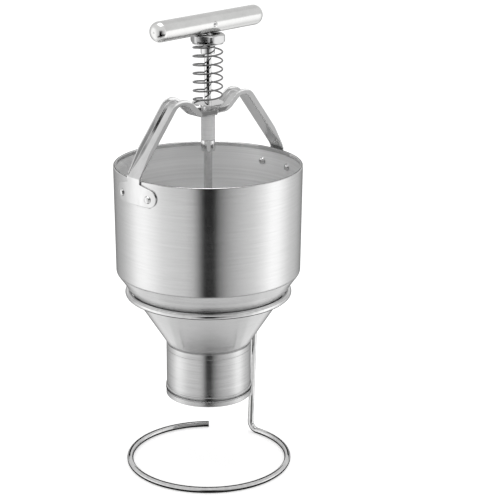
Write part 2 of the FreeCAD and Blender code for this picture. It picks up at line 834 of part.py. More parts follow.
# Cross handle: a bar with domed ends, bored from below for the rod and from one side for its screw
handleDirection = outward(size("handleAngle"))
screwDirection = outward(size("handleAngle") - 90)
handleCentre = Vector(0, 0, size("handleHeight"))
handleBlank = turned(
    "HandleBlank",
    [
        ("0", "-handleLength / 2"),
        ("handleRadius", "-handleLength / 2"),
        ("handleRadius", "handleLength / 2"),
        ("0", "handleLength / 2"),
    ],
    [(1, "handleRound"), (2, "handleRound")],
)
handleBlank.Placement = Placement(handleCentre, Rotation(Vector(0, 0, 1), handleDirection))
rodHoleBase = Vector(0, 0, size("handleHeight - 2 * handleRadius"))
rodHole = roundBar("RodHole", "upperBore", "2 * handleRadius + rodInHandle + faceGap", rodHoleBase)
screwHole = roundBar("ScrewHole", "screwRadius + fitGap", "2 * handleRadius", handleCentre, screwDirection)
keep(cut("HandleBar", handleBlank, [rodHole, screwHole]), "handle_bar")

# Set screw: bears on the rod, its hexagon socket facing out
screwBlank = roundBar(
    "ScrewBlank",
    "screwRadius",
    "handleRadius - screwInset - rodUpper - fitGap",
    handleCentre + screwDirection * size("rodUpper + fitGap"),
    screwDirection,
)
socket = hexagon("Socket", "socketFlats", "0", "2 * socketDepth")
socketBase = handleCentre + screwDirection * size("handleRadius - screwInset - socketDepth")
socket.Placement = Placement(socketBase, Rotation(Vector(0, 0, 1), screwDirection))
keep(cut("HandleScrew", screwBlank, [socket]), "handle_screw")

# Upper piston with a groove for its seal, both clear of the outlet's bore
upperPiston = turned(
    "UpperPiston",
    [
        ("lowerBore", "pistonBottom"),
        ("pistonRadius", "pistonBottom"),
        ("pistonRadius", "sealFloor"),
        ("sealFoot", "sealFloor"),
        ("sealFoot", "sealFloor + sealHeight"),
        ("pistonRadius", "sealFloor + sealHeight"),
        ("pistonRadius", "pistonTop"),
        ("lowerBore", "pistonTop"),
    ],
    [(1, "pistonRound"), (6, "pistonRound")],
)
keep(upperPiston, "upper_piston")
pistonSeal = turned(
    "PistonSeal",
    [
        ("sealFoot + faceGap", "sealFloor + faceGap"),
        ("sealRadius", "sealFloor + faceGap"),
        ("sealRadius", "sealFloor + sealHeight - faceGap"),
        ("sealFoot + faceGap", "sealFloor + sealHeight - faceGap"),
    ],
    [(1, "sealRound"), (2, "sealRound")],
)
keep(pistonSeal, "piston_seal")

pistonNutPrism = hexagon("PistonNutPrism", "smallFlats", "pistonTop", "smallNutHeight")
pistonNutHole = roundBar("PistonNutHole", "lowerBore", "pistonTop + 2 * smallNutHeight")
keep(cut("PistonNut", pistonNutPrism, [pistonNutHole]), "piston_nut")
keep(ring("SpacerTube", "lowerBore", "spacerRadius", "cutterTop", "pistonBottom"), "spacer_tube")

# Cutter: a shallow cone with a sharp lower rim, its washer and the acorn nut under it
cutterDisc = turned(
    "CutterDisc",
    [
        ("lowerBore", "cutterBottom"),
        ("cutterRadius", "cutterBottom"),
        ("cutterRadius", "cutterBottom + cutterEdge"),
        ("spacerRadius + cutterHub", "cutterTop"),
        ("lowerBore", "cutterTop"),
    ],
)
keep(cutterDisc, "cutter_disc")
keep(ring("CutterWasher", "lowerBore", "washerRadius", "acornTop", "cutterBottom"), "cutter_washer")

acornPrism = hexagon("AcornPrism", "smallFlats", "acornTop - acornHex", "acornHex")
acornDome = turned(
    "AcornDome",
    [
        ("0", "acornFloor"),
        ("acornRadius", "acornFloor"),
        ("acornRadius", "acornTop - acornHex / 2"),
        ("0", "acornTop - acornHex / 2"),
    ],
    [(1, "acornRound")],
)
acornBlank = doc.addObject("Part::Fuse", "AcornBlank")
acornBlank.Base = acornPrism
acornBlank.Tool = acornDome
acornHoleBase = Vector(0, 0, size("rodBottom - faceGap"))
acornHole = roundBar("AcornHole", "lowerBore", "2 * acornHeight", acornHoleBase)
keep(cut("AcornNut", acornBlank, [acornHole]), "acorn_nut")

# Every object and every finished shape checked, then one file for each piece
doc.recompute()
for item in doc.Objects:
    if "Invalid" in item.State or "Error" in item.State:
        raise ValueError(f"{item.Name} did not rebuild: {item.State}")
os.makedirs("parts", exist_ok=True)
for piece in partNodes:
    shape = piece.Shape
    if shape.isNull() or not shape.isValid() or not shape.Solids:
        raise ValueError(f"{piece.Label} is not a sound solid")
    shape.exportStep(f"parts/{piece.Label}.step")
print(f"{len(partNodes)} pieces written")
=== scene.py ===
from math import acos, asin, atan2, cos, pi, radians, sin, sqrt, tan
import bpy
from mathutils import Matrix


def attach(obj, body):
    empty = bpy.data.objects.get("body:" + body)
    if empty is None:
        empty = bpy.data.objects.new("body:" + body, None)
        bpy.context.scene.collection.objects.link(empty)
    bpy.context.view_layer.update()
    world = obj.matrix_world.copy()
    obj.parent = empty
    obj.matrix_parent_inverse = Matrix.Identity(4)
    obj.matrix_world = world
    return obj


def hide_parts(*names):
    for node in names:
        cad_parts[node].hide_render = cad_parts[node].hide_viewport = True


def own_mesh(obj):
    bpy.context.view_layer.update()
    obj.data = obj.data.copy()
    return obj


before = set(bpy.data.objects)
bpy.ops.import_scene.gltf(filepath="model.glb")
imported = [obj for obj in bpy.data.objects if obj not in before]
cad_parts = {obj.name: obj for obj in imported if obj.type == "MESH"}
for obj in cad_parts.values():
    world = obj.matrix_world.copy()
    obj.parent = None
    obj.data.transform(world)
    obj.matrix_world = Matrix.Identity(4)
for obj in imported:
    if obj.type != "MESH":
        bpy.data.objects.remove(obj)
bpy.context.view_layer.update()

from types import SimpleNamespace

import bmesh
import bpy
from mathutils import Matrix, Vector

# Batter dispenser on a wire stand. Sizes are in millimetres here and turned to metres where a mesh is made.
mm = 0.001


# A dictionary's sizes as plain names
def named(sizes):
    return SimpleNamespace(**sizes)


def limited(share):
    return min(max(share, 0), 1)


# A point by its distance from the axis, its angle and its height
def polar(radius, angle, height=0.0):
    return Vector((radius * cos(angle), radius * sin(angle), height))


# The frame whose Z runs from a point along a direction
def axisAlong(point, direction):
    return Matrix.Translation(point) @ Vector((0, 0, 1)).rotation_difference(direction).to_matrix().to_4x4()


# An sRGB hex colour as linear red, green, blue and alpha
def linearColour(code):
    shares = [int(code[start:start + 2], 16) / 255 for start in (0, 2, 4)]
    linear = [share / 12.92 if share <= 0.04045 else ((share + 0.055) / 1.055) ** 2.4 for share in shares]
    return linear + [1.0]


# One node with its settings; each input is a value, an output, or a node whose first output feeds it
def addNode(tree, kind, inputs=None, **settings):
    node = tree.nodes.new(kind)
    for name, value in settings.items():
        setattr(node, name, value)
    for key, value in (inputs or {}).items():
        if isinstance(value, bpy.types.Node):
            tree.links.new(value.outputs[0], node.inputs[key])
        elif isinstance(value, bpy.types.NodeSocket):
            tree.links.new(value, node.inputs[key])
        else:
            node.inputs[key].default_value = value
    return node


# The stops of a colour ramp, each a position and a grey level or a colour
def setStops(ramp, stops):
    elements = ramp.color_ramp.elements
    while len(elements) < len(stops):
        elements.new(0.5)
    for element, (position, value) in zip(elements, stops):
        element.position = position
        element.color = value if isinstance(value, (list, tuple)) else (value, value, value, 1)


# A material with nothing in its node tree yet
def emptyFinish(name):
    finish = bpy.data.materials.new(name)
    finish.use_nodes = True
    finish.node_tree.nodes.clear()
    return finish, finish.node_tree


def newObject(name, data):
    thing = bpy.data.objects.new(name, data)
    bpy.context.scene.collection.objects.link(thing)
    return thing


def madeMesh(name, shape):
    mesh = bpy.data.meshes.new(name)
    shape.to_mesh(mesh)
    shape.free()
    return mesh


# A closed outline in which a corner given with a radius becomes an arc; points beside it keep the flats flat
def softOutline(corners, steps=5):
    points = []
    for index, corner in enumerate(corners):
        here = Vector(corner[:2])
        radius = corner[2] if len(corner) > 2 else 0
        if not radius:
            points.append(here)
            continue
        before = (Vector(corners[index - 1][:2]) - here).normalized()
        after = (Vector(corners[(index + 1) % len(corners)][:2]) - here).normalized()
        half = before.angle(after) / 2
        reach = radius / tan(half)
        middle = here + (before + after).normalized() * (radius / sin(half))
        first, last = here + before * reach, here + after * reach
        spoke = first - middle
        sweep = spoke.angle_signed(last - middle)
        points.append(first + before * radius * 0.3)
        points += [middle + Matrix.Rotation(-sweep * step / steps, 2) @ spoke for step in range(steps + 1)]
        points.append(last + after * radius * 0.3)
    return points


# A closed skin through rows of points; each row runs once round the piece, and strips close the ends
def skinMesh(name, rows, endless=False, place=None):
    if place:
        rows = [[place @ point for point in row] for row in rows]
    count = len(rows[0])
    shape = bmesh.new()
    grid = [[shape.verts.new(Vector(point) * mm) for point in row] for row in rows]
    for near, far in list(zip(grid, grid[1:])) + ([(grid[-1], grid[0])] if endless else []):
        for index in range(count):
            after = (index + 1) % count
            shape.faces.new((near[index], near[after], far[after], far[index]))
    for row in [] if endless else [grid[0], grid[-1]]:
        for index in range(count // 2 - 1):
            shape.faces.new((row[index], row[index + 1], row[count - 2 - index], row[count - 1 - index]))
    bmesh.ops.remove_doubles(shape, verts=shape.verts, dist=2e-7)
    bmesh.ops.dissolve_degenerate(shape, dist=1e-7, edges=shape.edges)
    bmesh.ops.delete(shape, geom=[edge for edge in shape.edges if not edge.link_faces], context="EDGES")
    bmesh.ops.recalc_face_normals(shape, faces=shape.faces)
    return madeMesh(name, shape)


# Smooth shading with the real edges kept sharp
def shaded(mesh, angle=32):
    mesh.shade_smooth()
    mesh.set_sharp_from_angle(angle=radians(angle))
    return mesh


# A closed outline of (radius, height) turned about Z; two points on the axis make a solid end
def turnedMesh(name, corners, segments=128, steps=5, place=None):
    outline = softOutline(corners, steps)
    turns = [2 * pi * index / segments for index in range(segments)]
    rows = [[polar(radius, turn, height) for turn in turns] for radius, height in outline]
    solid = outline[0].x == 0 and outline[-1].x == 0
    return shaded(skinMesh(name, rows, not solid, place))


# The mesh that an object's modifiers leave; change receives the object and adds them
def settledMesh(name, mesh, change):
    helper = newObject(name, mesh)
    change(helper)
    bpy.context.view_layer.update()
    evaluated = helper.evaluated_get(bpy.context.evaluated_depsgraph_get())
    result = bpy.data.meshes.new_from_object(evaluated)
    bpy.data.objects.remove(helper)
    result.name = name
    return result


# The mesh cut by others
def cutMesh(name, mesh, tools):
    cutters = [newObject(f"{name}Cutter{index}", tool) for index, tool in enumerate(tools)]

    def change(helper):
        for cutter in cutters:
            modifier = helper.modifiers.new("cut", "BOOLEAN")
            modifier.operation, modifier.solver = "DIFFERENCE", "EXACT"
            modifier.object = cutter

    result = settledMesh(name, mesh, change)
    for cutter in cutters:
        bpy.data.objects.remove(cutter)
    return shaded(result)


# The mesh with its hard edges rounded
def easedMesh(name, mesh, width, segments=2, angle=25):
    def change(helper):
        modifier = helper.modifiers.new("ease", "BEVEL")
        modifier.width, modifier.segments = width * mm, segments
        modifier.limit_method, modifier.angle_limit = "ANGLE", radians(angle)

    return shaded(settledMesh(name, mesh, change), 40)


# What a Geometry Nodes tree makes of a mesh, with the tree's inputs given by name
def grownMesh(name, tree, inputs, mesh=None):
    def change(helper):
        modifier = helper.modifiers.new("grow", "NODES")
        modifier.node_group = tree
        for socket in tree.interface.items_tree:
            if socket.item_type == "SOCKET" and socket.in_out == "INPUT" and socket.name in inputs:
                modifier[socket.identifier] = inputs[socket.name]

    return settledMesh(name, mesh or bpy.data.meshes.new(name), change)


# A new Geometry Nodes tree with its inputs and outputs
def newTree(name, sockets):
    tree = bpy.data.node_groups.new(name, "GeometryNodeTree")
    tree.interface.new_socket("Geometry", in_out="INPUT", socket_type="NodeSocketGeometry")
    for label, kind in sockets.items():
        tree.interface.new_socket(label, in_out="INPUT", socket_type="NodeSocket" + kind)
    tree.interface.new_socket("Geometry", in_out="OUTPUT", socket_type="NodeSocketGeometry")
    return tree, addNode(tree, "NodeGroupInput").outputs


# The end of every tree: real geometry, smooth, with its finish
def closeTree(tree, geometry, finish):
    real = addNode(tree, "GeometryNodeRealizeInstances", {"Geometry": geometry})
    smooth = addNode(tree, "GeometryNodeSetShadeSmooth", {"Geometry": real})
    painted = addNode(tree, "GeometryNodeSetMaterial", {"Geometry": smooth, "Material": finish})
    addNode(tree, "NodeGroupOutput", {"Geometry": painted})
    return tree


# A finished mesh becomes a piece on its body; node is the CAD solid that it stands for
def finishPiece(name, mesh, finish, body, node):
    piece = newObject(name, mesh)
    mesh.materials.clear()
    mesh.materials.append(finish)
    if node:
        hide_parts(node)
    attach(piece, body)
    return piece


# The camera, set so that the rim, the rings and the outlet fall where the photograph has them
cameraSet = {
    "distance": 1498.33,  # from the object's axis, level
    "height": 691.86,
    "azimuth": 41.3,      # the arch is turned this far from the picture's width
    "pitch": 17.504, "pan": 1.5355, "roll": 0.298,
    "lens": 117.237, "sensor": 36, "clip": (0.05, 60),
}


def placeCamera():
    s = named(cameraSet)
    data = bpy.data.cameras.new("camera")
    data.lens, data.sensor_width = s.lens, s.sensor
    data.clip_start, data.clip_end = s.clip
    camera = newObject("camera", data)
    turn = radians(s.azimuth)
    stand = Matrix.Rotation(-turn, 4, "Z") @ Vector((0, -s.distance * mm, s.height * mm))
    aim = (
        Matrix.Rotation(-turn - radians(s.pan), 4, "Z")
        @ Matrix.Rotation(radians(90 - s.pitch), 4, "X")
        @ Matrix.Rotation(radians(s.roll), 4, "Z")
    )
    camera.matrix_world = Matrix.Translation(stand) @ aim
    bpy.context.scene.camera = camera


placeCamera()
bpy.context.scene.view_settings.view_transform = "Standard"
print("camera placed")


# Studio

studioSet = {
    "softLevel": 0.72,      # light from all round on matt surfaces
    "boxLevel": 2.7, "boxSize": 900, "boxHeight": 1700,
    "tentRadius": 6000, "floorRadius": 5000,
    "floorLift": 0.5,       # added for the camera alone, so that the floor reads as white paper
}
# Brightness round the tent, by degrees from the camera's side, positive to its right: a narrow black flag at
# the camera, two bright panels at the sides and a greyer back
tentStops = [
    (-180, 0.12), (-162, 0.26), (-146, 0.48), (-128, 0.68), (-112, 0.98), (-96, 1.40), (-84, 1.44),
    (-70, 1.24), (-58, 1.02), (-42, 0.90), (-28, 0.82), (-19, 0.66), (-14.5, 0.46), (-8.5, 0.15), (-4.5, 0.0),
    (5.5, 0.0), (8.5, 0.05), (11, 0.16), (16, 0.29), (26, 0.52), (40, 0.74), (57, 0.93), (69, 1.16),
    (83, 1.50), (95, 1.48), (106, 1.20), (118, 0.90), (136, 0.68), (152, 0.42), (166, 0.20), (180, 0.12),
]
# How the tent changes with height, from straight down (-1) to straight up (1): a brightness, and how far it
# takes the place of the one above. The front has a dark strip low down, the back a grey one high up
frontHeights = [
    (-1.0, 0.80, 1.0), (-0.97, 0.86, 1.0), (-0.94, 0.92, 1.0), (-0.80, 0.98, 0.9), (-0.68, 0.95, 0.0),
    (0.24, 0.92, 0.0), (0.52, 0.92, 1.0), (1.0, 0.92, 1.0),
]
backHeights = [
    (-1.0, 0.72, 1.0), (-0.90, 0.92, 1.0), (-0.60, 1.05, 1.0), (-0.42, 1.00, 0.0), (0.04, 0.80, 0.0),
    (0.13, 0.80, 1.0), (0.40, 0.76, 1.0), (0.50, 0.72, 1.0), (0.80, 0.72, 1.0), (0.92, 0.88, 1.0),
    (1.0, 0.92, 1.0),
]
backFrom, backTo = 112, 140  # degrees from the camera's side between which the front gives way to the back


# White for what looks at it directly or in a reflection, and an even soft light for matt surfaces
def makeWorld():
    world = bpy.data.worlds.new("studio")
    world.use_nodes = True
    tree = world.node_tree
    tree.nodes.clear()
    path = addNode(tree, "ShaderNodeLightPath").outputs
    mirrored = addNode(
        tree, "ShaderNodeMath", {0: path["Is Glossy Ray"], 1: path["Is Transmission Ray"]}, operation="ADD",
    )
    seen = addNode(
        tree, "ShaderNodeMath", {0: path["Is Camera Ray"], 1: mirrored}, operation="ADD", use_clamp=True,
    )
    soft, white = (
        addNode(tree, "ShaderNodeBackground", {"Color": linearColour("FFFFFF"), "Strength": level})
        for level in (studioSet["softLevel"], 1.0)
    )
    both = addNode(tree, "ShaderNodeMixShader", {0: seen, 1: soft, 2: white})
    addNode(tree, "ShaderNodeOutputWorld", {"Surface": both})
    bpy.context.scene.world = world


# A stage object with one material, seen only by the kinds of ray that are named
def stageObject(name, mesh, finish, seenBy):
    thing = newObject(name, mesh)
    mesh.materials.append(finish)
    for kind in ("camera", "diffuse", "glossy", "transmission", "shadow", "volume_scatter"):
        setattr(thing, f"visible_{kind}", kind in seenBy)
    return thing


# The studio's flags and panels, which only reflections see
def makeTent():
    shape = bmesh.new()
    bmesh.ops.create_uvsphere(shape, u_segments=96, v_segments=48, radius=studioSet["tentRadius"] * mm)
    finish, tree = emptyFinish("flagTent")
    finish.cycles.emission_sampling = "NONE"
    place = addNode(tree, "ShaderNodeTexCoord").outputs["Object"]
    unit = addNode(tree, "ShaderNodeVectorMath", {0: place}, operation="NORMALIZE")
    facing = radians(cameraSet["azimuth"] + 90)  # the camera's side is turned onto +X
    turned = addNode(tree, "ShaderNodeVectorRotate", {
        "Vector": unit, "Angle": facing,
    }, rotation_type="Z_AXIS")
    axes = addNode(tree, "ShaderNodeSeparateXYZ", {0: turned}).outputs
    azimuth = addNode(tree, "ShaderNodeMath", {0: axes["Y"], 1: axes["X"]}, operation="ARCTAN2")
    share = addNode(tree, "ShaderNodeMapRange", {"Value": azimuth, "From Min": -pi, "From Max": pi})
    around = addNode(tree, "ShaderNodeValToRGB", {"Fac": share})
    setStops(around, [((degrees + 180) / 360, level) for degrees, level in tentStops])
    rise = addNode(tree, "ShaderNodeMapRange", {"Value": axes["Z"], "From Min": -1.0, "From Max": 1.0})
    sides = []
    for heights in (frontHeights, backHeights):
        profile = addNode(tree, "ShaderNodeValToRGB", {"Fac": rise})
        setStops(profile, [((up + 1) / 2, (level, level, level, part)) for up, level, part in heights])
        sides.append(addNode(tree, "ShaderNodeMixRGB", {
            "Fac": profile.outputs["Alpha"], "Color1": around, "Color2": profile.outputs["Color"],
        }))
    away = addNode(tree, "ShaderNodeMath", {0: azimuth}, operation="ABSOLUTE")
    behind = addNode(tree, "ShaderNodeMapRange", {
        "Value": away, "From Min": radians(backFrom), "From Max": radians(backTo),
    }, interpolation_type="SMOOTHSTEP")
    whole = addNode(tree, "ShaderNodeMixRGB", {"Fac": behind, "Color1": sides[0], "Color2": sides[1]})
    glow = addNode(tree, "ShaderNodeEmission", {"Color": whole, "Strength": 1.0})
    addNode(tree, "ShaderNodeOutputMaterial", {"Surface": glow})
    stageObject("flagTent", madeMesh("flagTent", shape), finish, ("glossy", "transmission"))


# Small cards hung round the object; only reflections see them. Most are flags, as a photographer hangs them,
# but the black ones just under the support ring, the foot plate and the outlet's bead, and the one on the
# floor round the base ring, are painted shadow in those reflections. Each is a strip round the object's axis:
# its level, the radius at its two edges, their heights, and where it starts and ends in degrees from the
# camera's side. They hang from the body that they light, so that it keeps its look
cardSet = {
    "hopper": {
        "rodFlag": (0.0, (180, 180), (319, 372), (-44, 44)),  # a dark core in the rod and the spring
        "bossFlag": (0.0, (180, 180), (372, 386), (-6, 12)),  # and a thin one in the cup's boss
        "cupFlag": (0.0, (180, 180), (387.4, 390.2), (-44, 44)),  # a dark line under the cup's flange
        "nutFlag": (0.0, (180, 180), (384, 397), (-2, 38)),  # a dark corner in the adjusting nut
        "handleCard": (0.82, (400, 400), (474, 950), (66, 132)),  # a greyer upper half for the handle
        # painted shadow: a black card in the groove under the outlet's bead, seen only in reflections
        "beadFlag": (0.0, (42.5, 48), (77.9, 77.9), (0, 360)),  # a dark line under the outlet's bead
        # painted shadow: a near-black strip just under the foot plate, seen only in the wall's reflection
        "footLine": (0.05, (90.1, 93.4), (281.6, 281.6), (-60.9, -36.5)),  # a dark line under the foot plate
    },
    "stand": {
        # painted shadow: a near-black ring just under the support ring, seen only in reflections
        "ringFlag": (0.02, (71.5, 80.5), (172.5, 172.5), (0, 360)),  # a dark line under the support ring
        "ringLine": (0.30, (93, 100), (190, 190), (-95, 95)),  # a fine line along its front
        # painted shadow: a near-black ring on the floor round the base ring, seen only in reflections
        "baseFlag": (0.02, (70, 90), (0.2, 0.2), (0, 360)),  # the base ring's dark contact line on the floor
        "baseNear": (0.0, (48, 77), (14, 14), (-80, 80)),  # a dark line along the base ring's top, near,
        "baseRight": (0.0, (80.5, 106), (14, 14), (98, 136)),  # at the right
        "baseFar": (0.0, (80.5, 106), (14, 14), (146, 262)),  # and far
        "cutEndFlag": (0.25, (66, 66), (1, 9), (178, 205)),  # a darker wire towards its cut end
        "nearCover": (0.80, (30, 140), (14.4, 14.4), (-97, 97)),  # light backs for these flags, for the cone
        "rightCover": (0.80, (78, 108), (14.4, 14.4), (98, 136)),
        "farCover": (0.80, (78, 108), (14.4, 14.4), (146, 262)),
    },
}
# Flat upright cards: the body, a level, the two ends in plan and the heights
flatSet = {
    "legFlankCard": ("hopper", 0.54, (-104, -24), (-2, -24), (311, 367)),  # grey flanks on the left arm
    "saddleCard": ("hopper", 0.26, (-2, -24), (29, -24), (336, 364)),  # darker on the saddle's
    "armFlankCard": ("hopper", 0.70, (29, -24), (106, -24), (303, 370)),  # and on the right arm's
    "underCard": ("hopper", 0.50, (45, 22), (100, 22), (304, 352)),  # a lighter underside of the right arm
    "endFlag": ("hopper", 0.0, (-104.5, -32.0), (-90.9, -43.8), (392, 446)),  # a dark bar in the handle's end
}


# A card between two rows of points
def hangCard(name, body, level, near, far):
    points = [point for pair in zip(near, far) for point in pair]
    faces = [(index, index + 2, index + 3, index + 1) for index in range(0, len(points) - 2, 2)]
    mesh = bpy.data.meshes.new(name)
    mesh.from_pydata([Vector(point) * mm for point in points], [], faces)
    finish, tree = emptyFinish(name)
    finish.cycles.emission_sampling = "NONE"
    glow = addNode(tree, "ShaderNodeEmission", {"Color": (level, level, level, 1), "Strength": 1.0})
    addNode(tree, "ShaderNodeOutputMaterial", {"Surface": glow})
    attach(stageObject(name, mesh, finish, ("glossy",)), body)


def makeCards():
    for body, cards in cardSet.items():
        for name, (level, radii, heights, (first, last)) in cards.items():
            steps = max(6, int((last - first) / 6))
            degrees = [first + (last - first) * index / steps for index in range(steps + 1)]
            angles = [radians(degree - 90 - cameraSet["azimuth"]) for degree in degrees]
            edges = [
                [polar(radius, angle, height) for angle in angles] for radius, height in zip(radii, heights)
            ]
            hangCard(name, body, level, *edges)
    for name, (body, level, first, last, (foot, top)) in flatSet.items():
        hangCard(name, body, level, [(*first, foot), (*last, foot)], [(*first, top), (*last, top)])


# Pale matt floor that keeps the object's shadow; the tent stands in for it in reflections
def makeFloor():
    shape = bmesh.new()
    bmesh.ops.create_circle(shape, cap_ends=True, segments=96, radius=studioSet["floorRadius"] * mm)
    finish, tree = emptyFinish("paleFloor")
    path = addNode(tree, "ShaderNodeLightPath").outputs
    matt = addNode(tree, "ShaderNodeBsdfDiffuse", {"Color": linearColour("EBEBEB")})
    lift = addNode(
        tree, "ShaderNodeMath", {0: path["Is Camera Ray"], 1: studioSet["floorLift"]}, operation="MULTIPLY",
    )
    glow = addNode(tree, "ShaderNodeEmission", {"Color": linearColour("FFFFFF"), "Strength": lift})
    both = addNode(tree, "ShaderNodeAddShader", {0: matt, 1: glow})
    addNode(tree, "ShaderNodeOutputMaterial", {"Surface": both})
    mesh = madeMesh("studioFloor", shape)
    stageObject("studioFloor", mesh, finish, ("camera", "diffuse", "transmission", "shadow"))


# One soft box overhead
def makeSoftBox():
    data = bpy.data.lights.new("softBox", "AREA")
    data.shape = "SQUARE"
    data.size = studioSet["boxSize"] * mm
    data.energy = studioSet["boxLevel"] * pi * data.size ** 2
    newObject("softBox", data).location = (0, 0, studioSet["boxHeight"] * mm)


makeWorld()
makeTent()
makeCards()
makeFloor()
makeSoftBox()
print("studio lit")


# Finishes

# Noise whose grains are the given lengths in millimetres along X, Y and Z of the object
def grain(tree, lengths, detail=2.0):
    place = addNode(tree, "ShaderNodeTexCoord").outputs["Object"]
    scale = [1 / (length * mm) for length in lengths]
    stretched = addNode(tree, "ShaderNodeMapping", {"Vector": place, "Scale": scale})
    return addNode(tree, "ShaderNodeTexNoise", {"Vector": stretched, "Scale": 1.0, "Detail": detail})


# A value that runs between two limits with a noise, whose own values mostly lie between 0.3 and 0.7
def between(tree, noise, low, high):
    limits = {"Value": noise, "From Min": 0.3, "From Max": 0.7, "To Min": low, "To Max": high}
    return addNode(tree, "ShaderNodeMapRange", limits)


# A colour that runs between two hex colours with a noise
def blended(tree, noise, dark, light):
    share = between(tree, noise, 0.0, 1.0)
    colours = {"Fac": share, "Color1": linearColour(dark), "Color2": linearColour(light)}
    return addNode(tree, "ShaderNodeMixRGB", colours)


# The shader with its colours, its gloss and what else it is given
def closeFinish(tree, noise, colours, gloss, **inputs):
    shader = addNode(tree, "ShaderNodeBsdfPrincipled", {
        "Base Color": blended(tree, noise, *colours), "Roughness": between(tree, noise, *gloss), **inputs,
    })
    addNode(tree, "ShaderNodeOutputMaterial", {"Surface": shader})


# Spun stainless steel, brushed on the lathe: rings of fine scratches draw every reflection out up and down.
# The rings come and go along their length, and a relief in micrometres leaves the tool's wider marks
def spunSteel(name, colours, roughness, swing, anisotropy, ring, relief, length=110, detail=3.0):
    finish, tree = emptyFinish(name)
    rings = grain(tree, (length, length, ring), detail)
    wear = grain(tree, (length / 4, length / 4, ring * 1.7), 2.0)
    marks = addNode(tree, "ShaderNodeMath", {0: rings, 1: wear}, operation="ADD")
    scratches = addNode(tree, "ShaderNodeMath", {0: marks, 1: 0.5}, operation="MULTIPLY")
    bump = addNode(tree, "ShaderNodeBump", {"Height": rings, "Strength": 1.0, "Distance": relief * 1e-6})
    tangent = addNode(tree, "ShaderNodeTangent", direction_type="RADIAL", axis="Z")
    closeFinish(tree, scratches, colours, (roughness - swing, roughness + swing), **{
        "Normal": bump, "Tangent": tangent, "Metallic": 1.0,
        "Anisotropic": anisotropy, "Anisotropic Rotation": 0.25,
    })
    return finish


# Steel without a grain: reflections as clear as its gloss makes them, with faint smears of the given size
# along X, Y and Z
def brightSteel(name, colours, gloss, smear=(9, 9, 22)):
    finish, tree = emptyFinish(name)
    closeFinish(tree, grain(tree, smear, 3.0), colours, gloss, Metallic=1.0)
    return finish


# Cast aluminium, tumbled and polished to a satin: soft reflections and a slightly wavy skin
def satinAluminium(name, colours, gloss):
    finish, tree = emptyFinish(name)
    peel = grain(tree, (1.4, 1.4, 1.4), 2.0)
    bump = addNode(tree, "ShaderNodeBump", {"Height": peel, "Strength": 0.2, "Distance": 0.00002})
    closeFinish(tree, grain(tree, (14, 14, 14), 3.0), colours, gloss, Metallic=1.0, Normal=bump)
    return finish


# Turned nylon: a soft sheen, light passing a little way in, and faint tool rings
def turnedNylon(name, colours, ring, scatter):
    finish, tree = emptyFinish(name)
    rings = grain(tree, (40, 40, ring), 2.0)
    bump = addNode(tree, "ShaderNodeBump", {"Height": rings, "Strength": 0.25, "Distance": 0.00003})
    closeFinish(tree, rings, colours, (0.38, 0.5), **{
        "Normal": bump, "IOR": 1.53, "Subsurface Weight": scatter,
        "Subsurface Radius": (0.0012, 0.0011, 0.001), "Subsurface Scale": 1.0,
    })
    return finish


# Ring scratches are drawn 1.1 mm apart outside and 1.8 mm inside, coarser than real ones, so that they show
hopperSteel = spunSteel("spunSteel", ("CECECE", "D6D6D6"), 0.21, 0.02, 0.96, 1.1, 3)
outletSteel = spunSteel("spunSteelOutlet", ("BEBEBE", "CECECE"), 0.23, 0.04, 0.95, 1.1, 5)
# The inside is as the tool left it, without brushing: soft, with the tool's rings. Its colour, far paler than
# the outside's, is painted light that brightens the shaded inside
paintedLightInsideSteel = spunSteel("spunSteelInsidePaintedLight", ("ECECEC", "FEFEFE"), 0.58, 0.05, 0.5, 1.8, 80, 900, 1.0)
armSteel = brightSteel("polishedStrip", ("CDCDCD", "D8D8D8"), (0.07, 0.13))  # rolled strip, wheel polished
plateSteel = brightSteel("facedSteel", ("A6A6A6", "B4B4B4"), (0.33, 0.39))  # faced on the lathe, so dull
rivetSteel = brightSteel("rivetSteel", ("CDCDCD", "D8D8D8"), (0.01, 0.07))  # struck heads, mirror bright
turnedSteel = brightSteel("turnedSteel", ("D2D2D2", "DADADA"), (0.02, 0.08))  # ground after turning, clear
nutSteel = brightSteel("turnedHexagonBar", ("B6B6B6", "C4C4C4"), (0.09, 0.15))  # bright bar, a bit darker
zincSteel = brightSteel("zincPlatedSteel", ("D6D6D6", "E2E2E2"), (0.39, 0.45))  # plated, so pale and cloudy
# Drawn wire is nearly a mirror, with faint marks from the die; the spring's is darker from its tempering
wireSteel = brightSteel("drawnWire", ("CCCCCC", "DCDCDC"), (0.03, 0.08), (4, 4, 4))
springSteel = brightSteel("springWire", ("6C6C6C", "848484"), (0.06, 0.11), (4, 4, 4))
handleAluminium = satinAluminium("satinAluminium", ("D6D6D5", "DFDFDE"), (0.18, 0.26))
bushNylon = turnedNylon("turnedNylon", ("E0E0E0", "EAEAEA"), 1.2, 0.12)
sealSilicone = turnedNylon("mouldedSilicone", ("E2E1DD", "EBEAE6"), 0.8, 0.3)  # softer and warmer than nylon
print("finishes mixed")


# Hopper and outlet

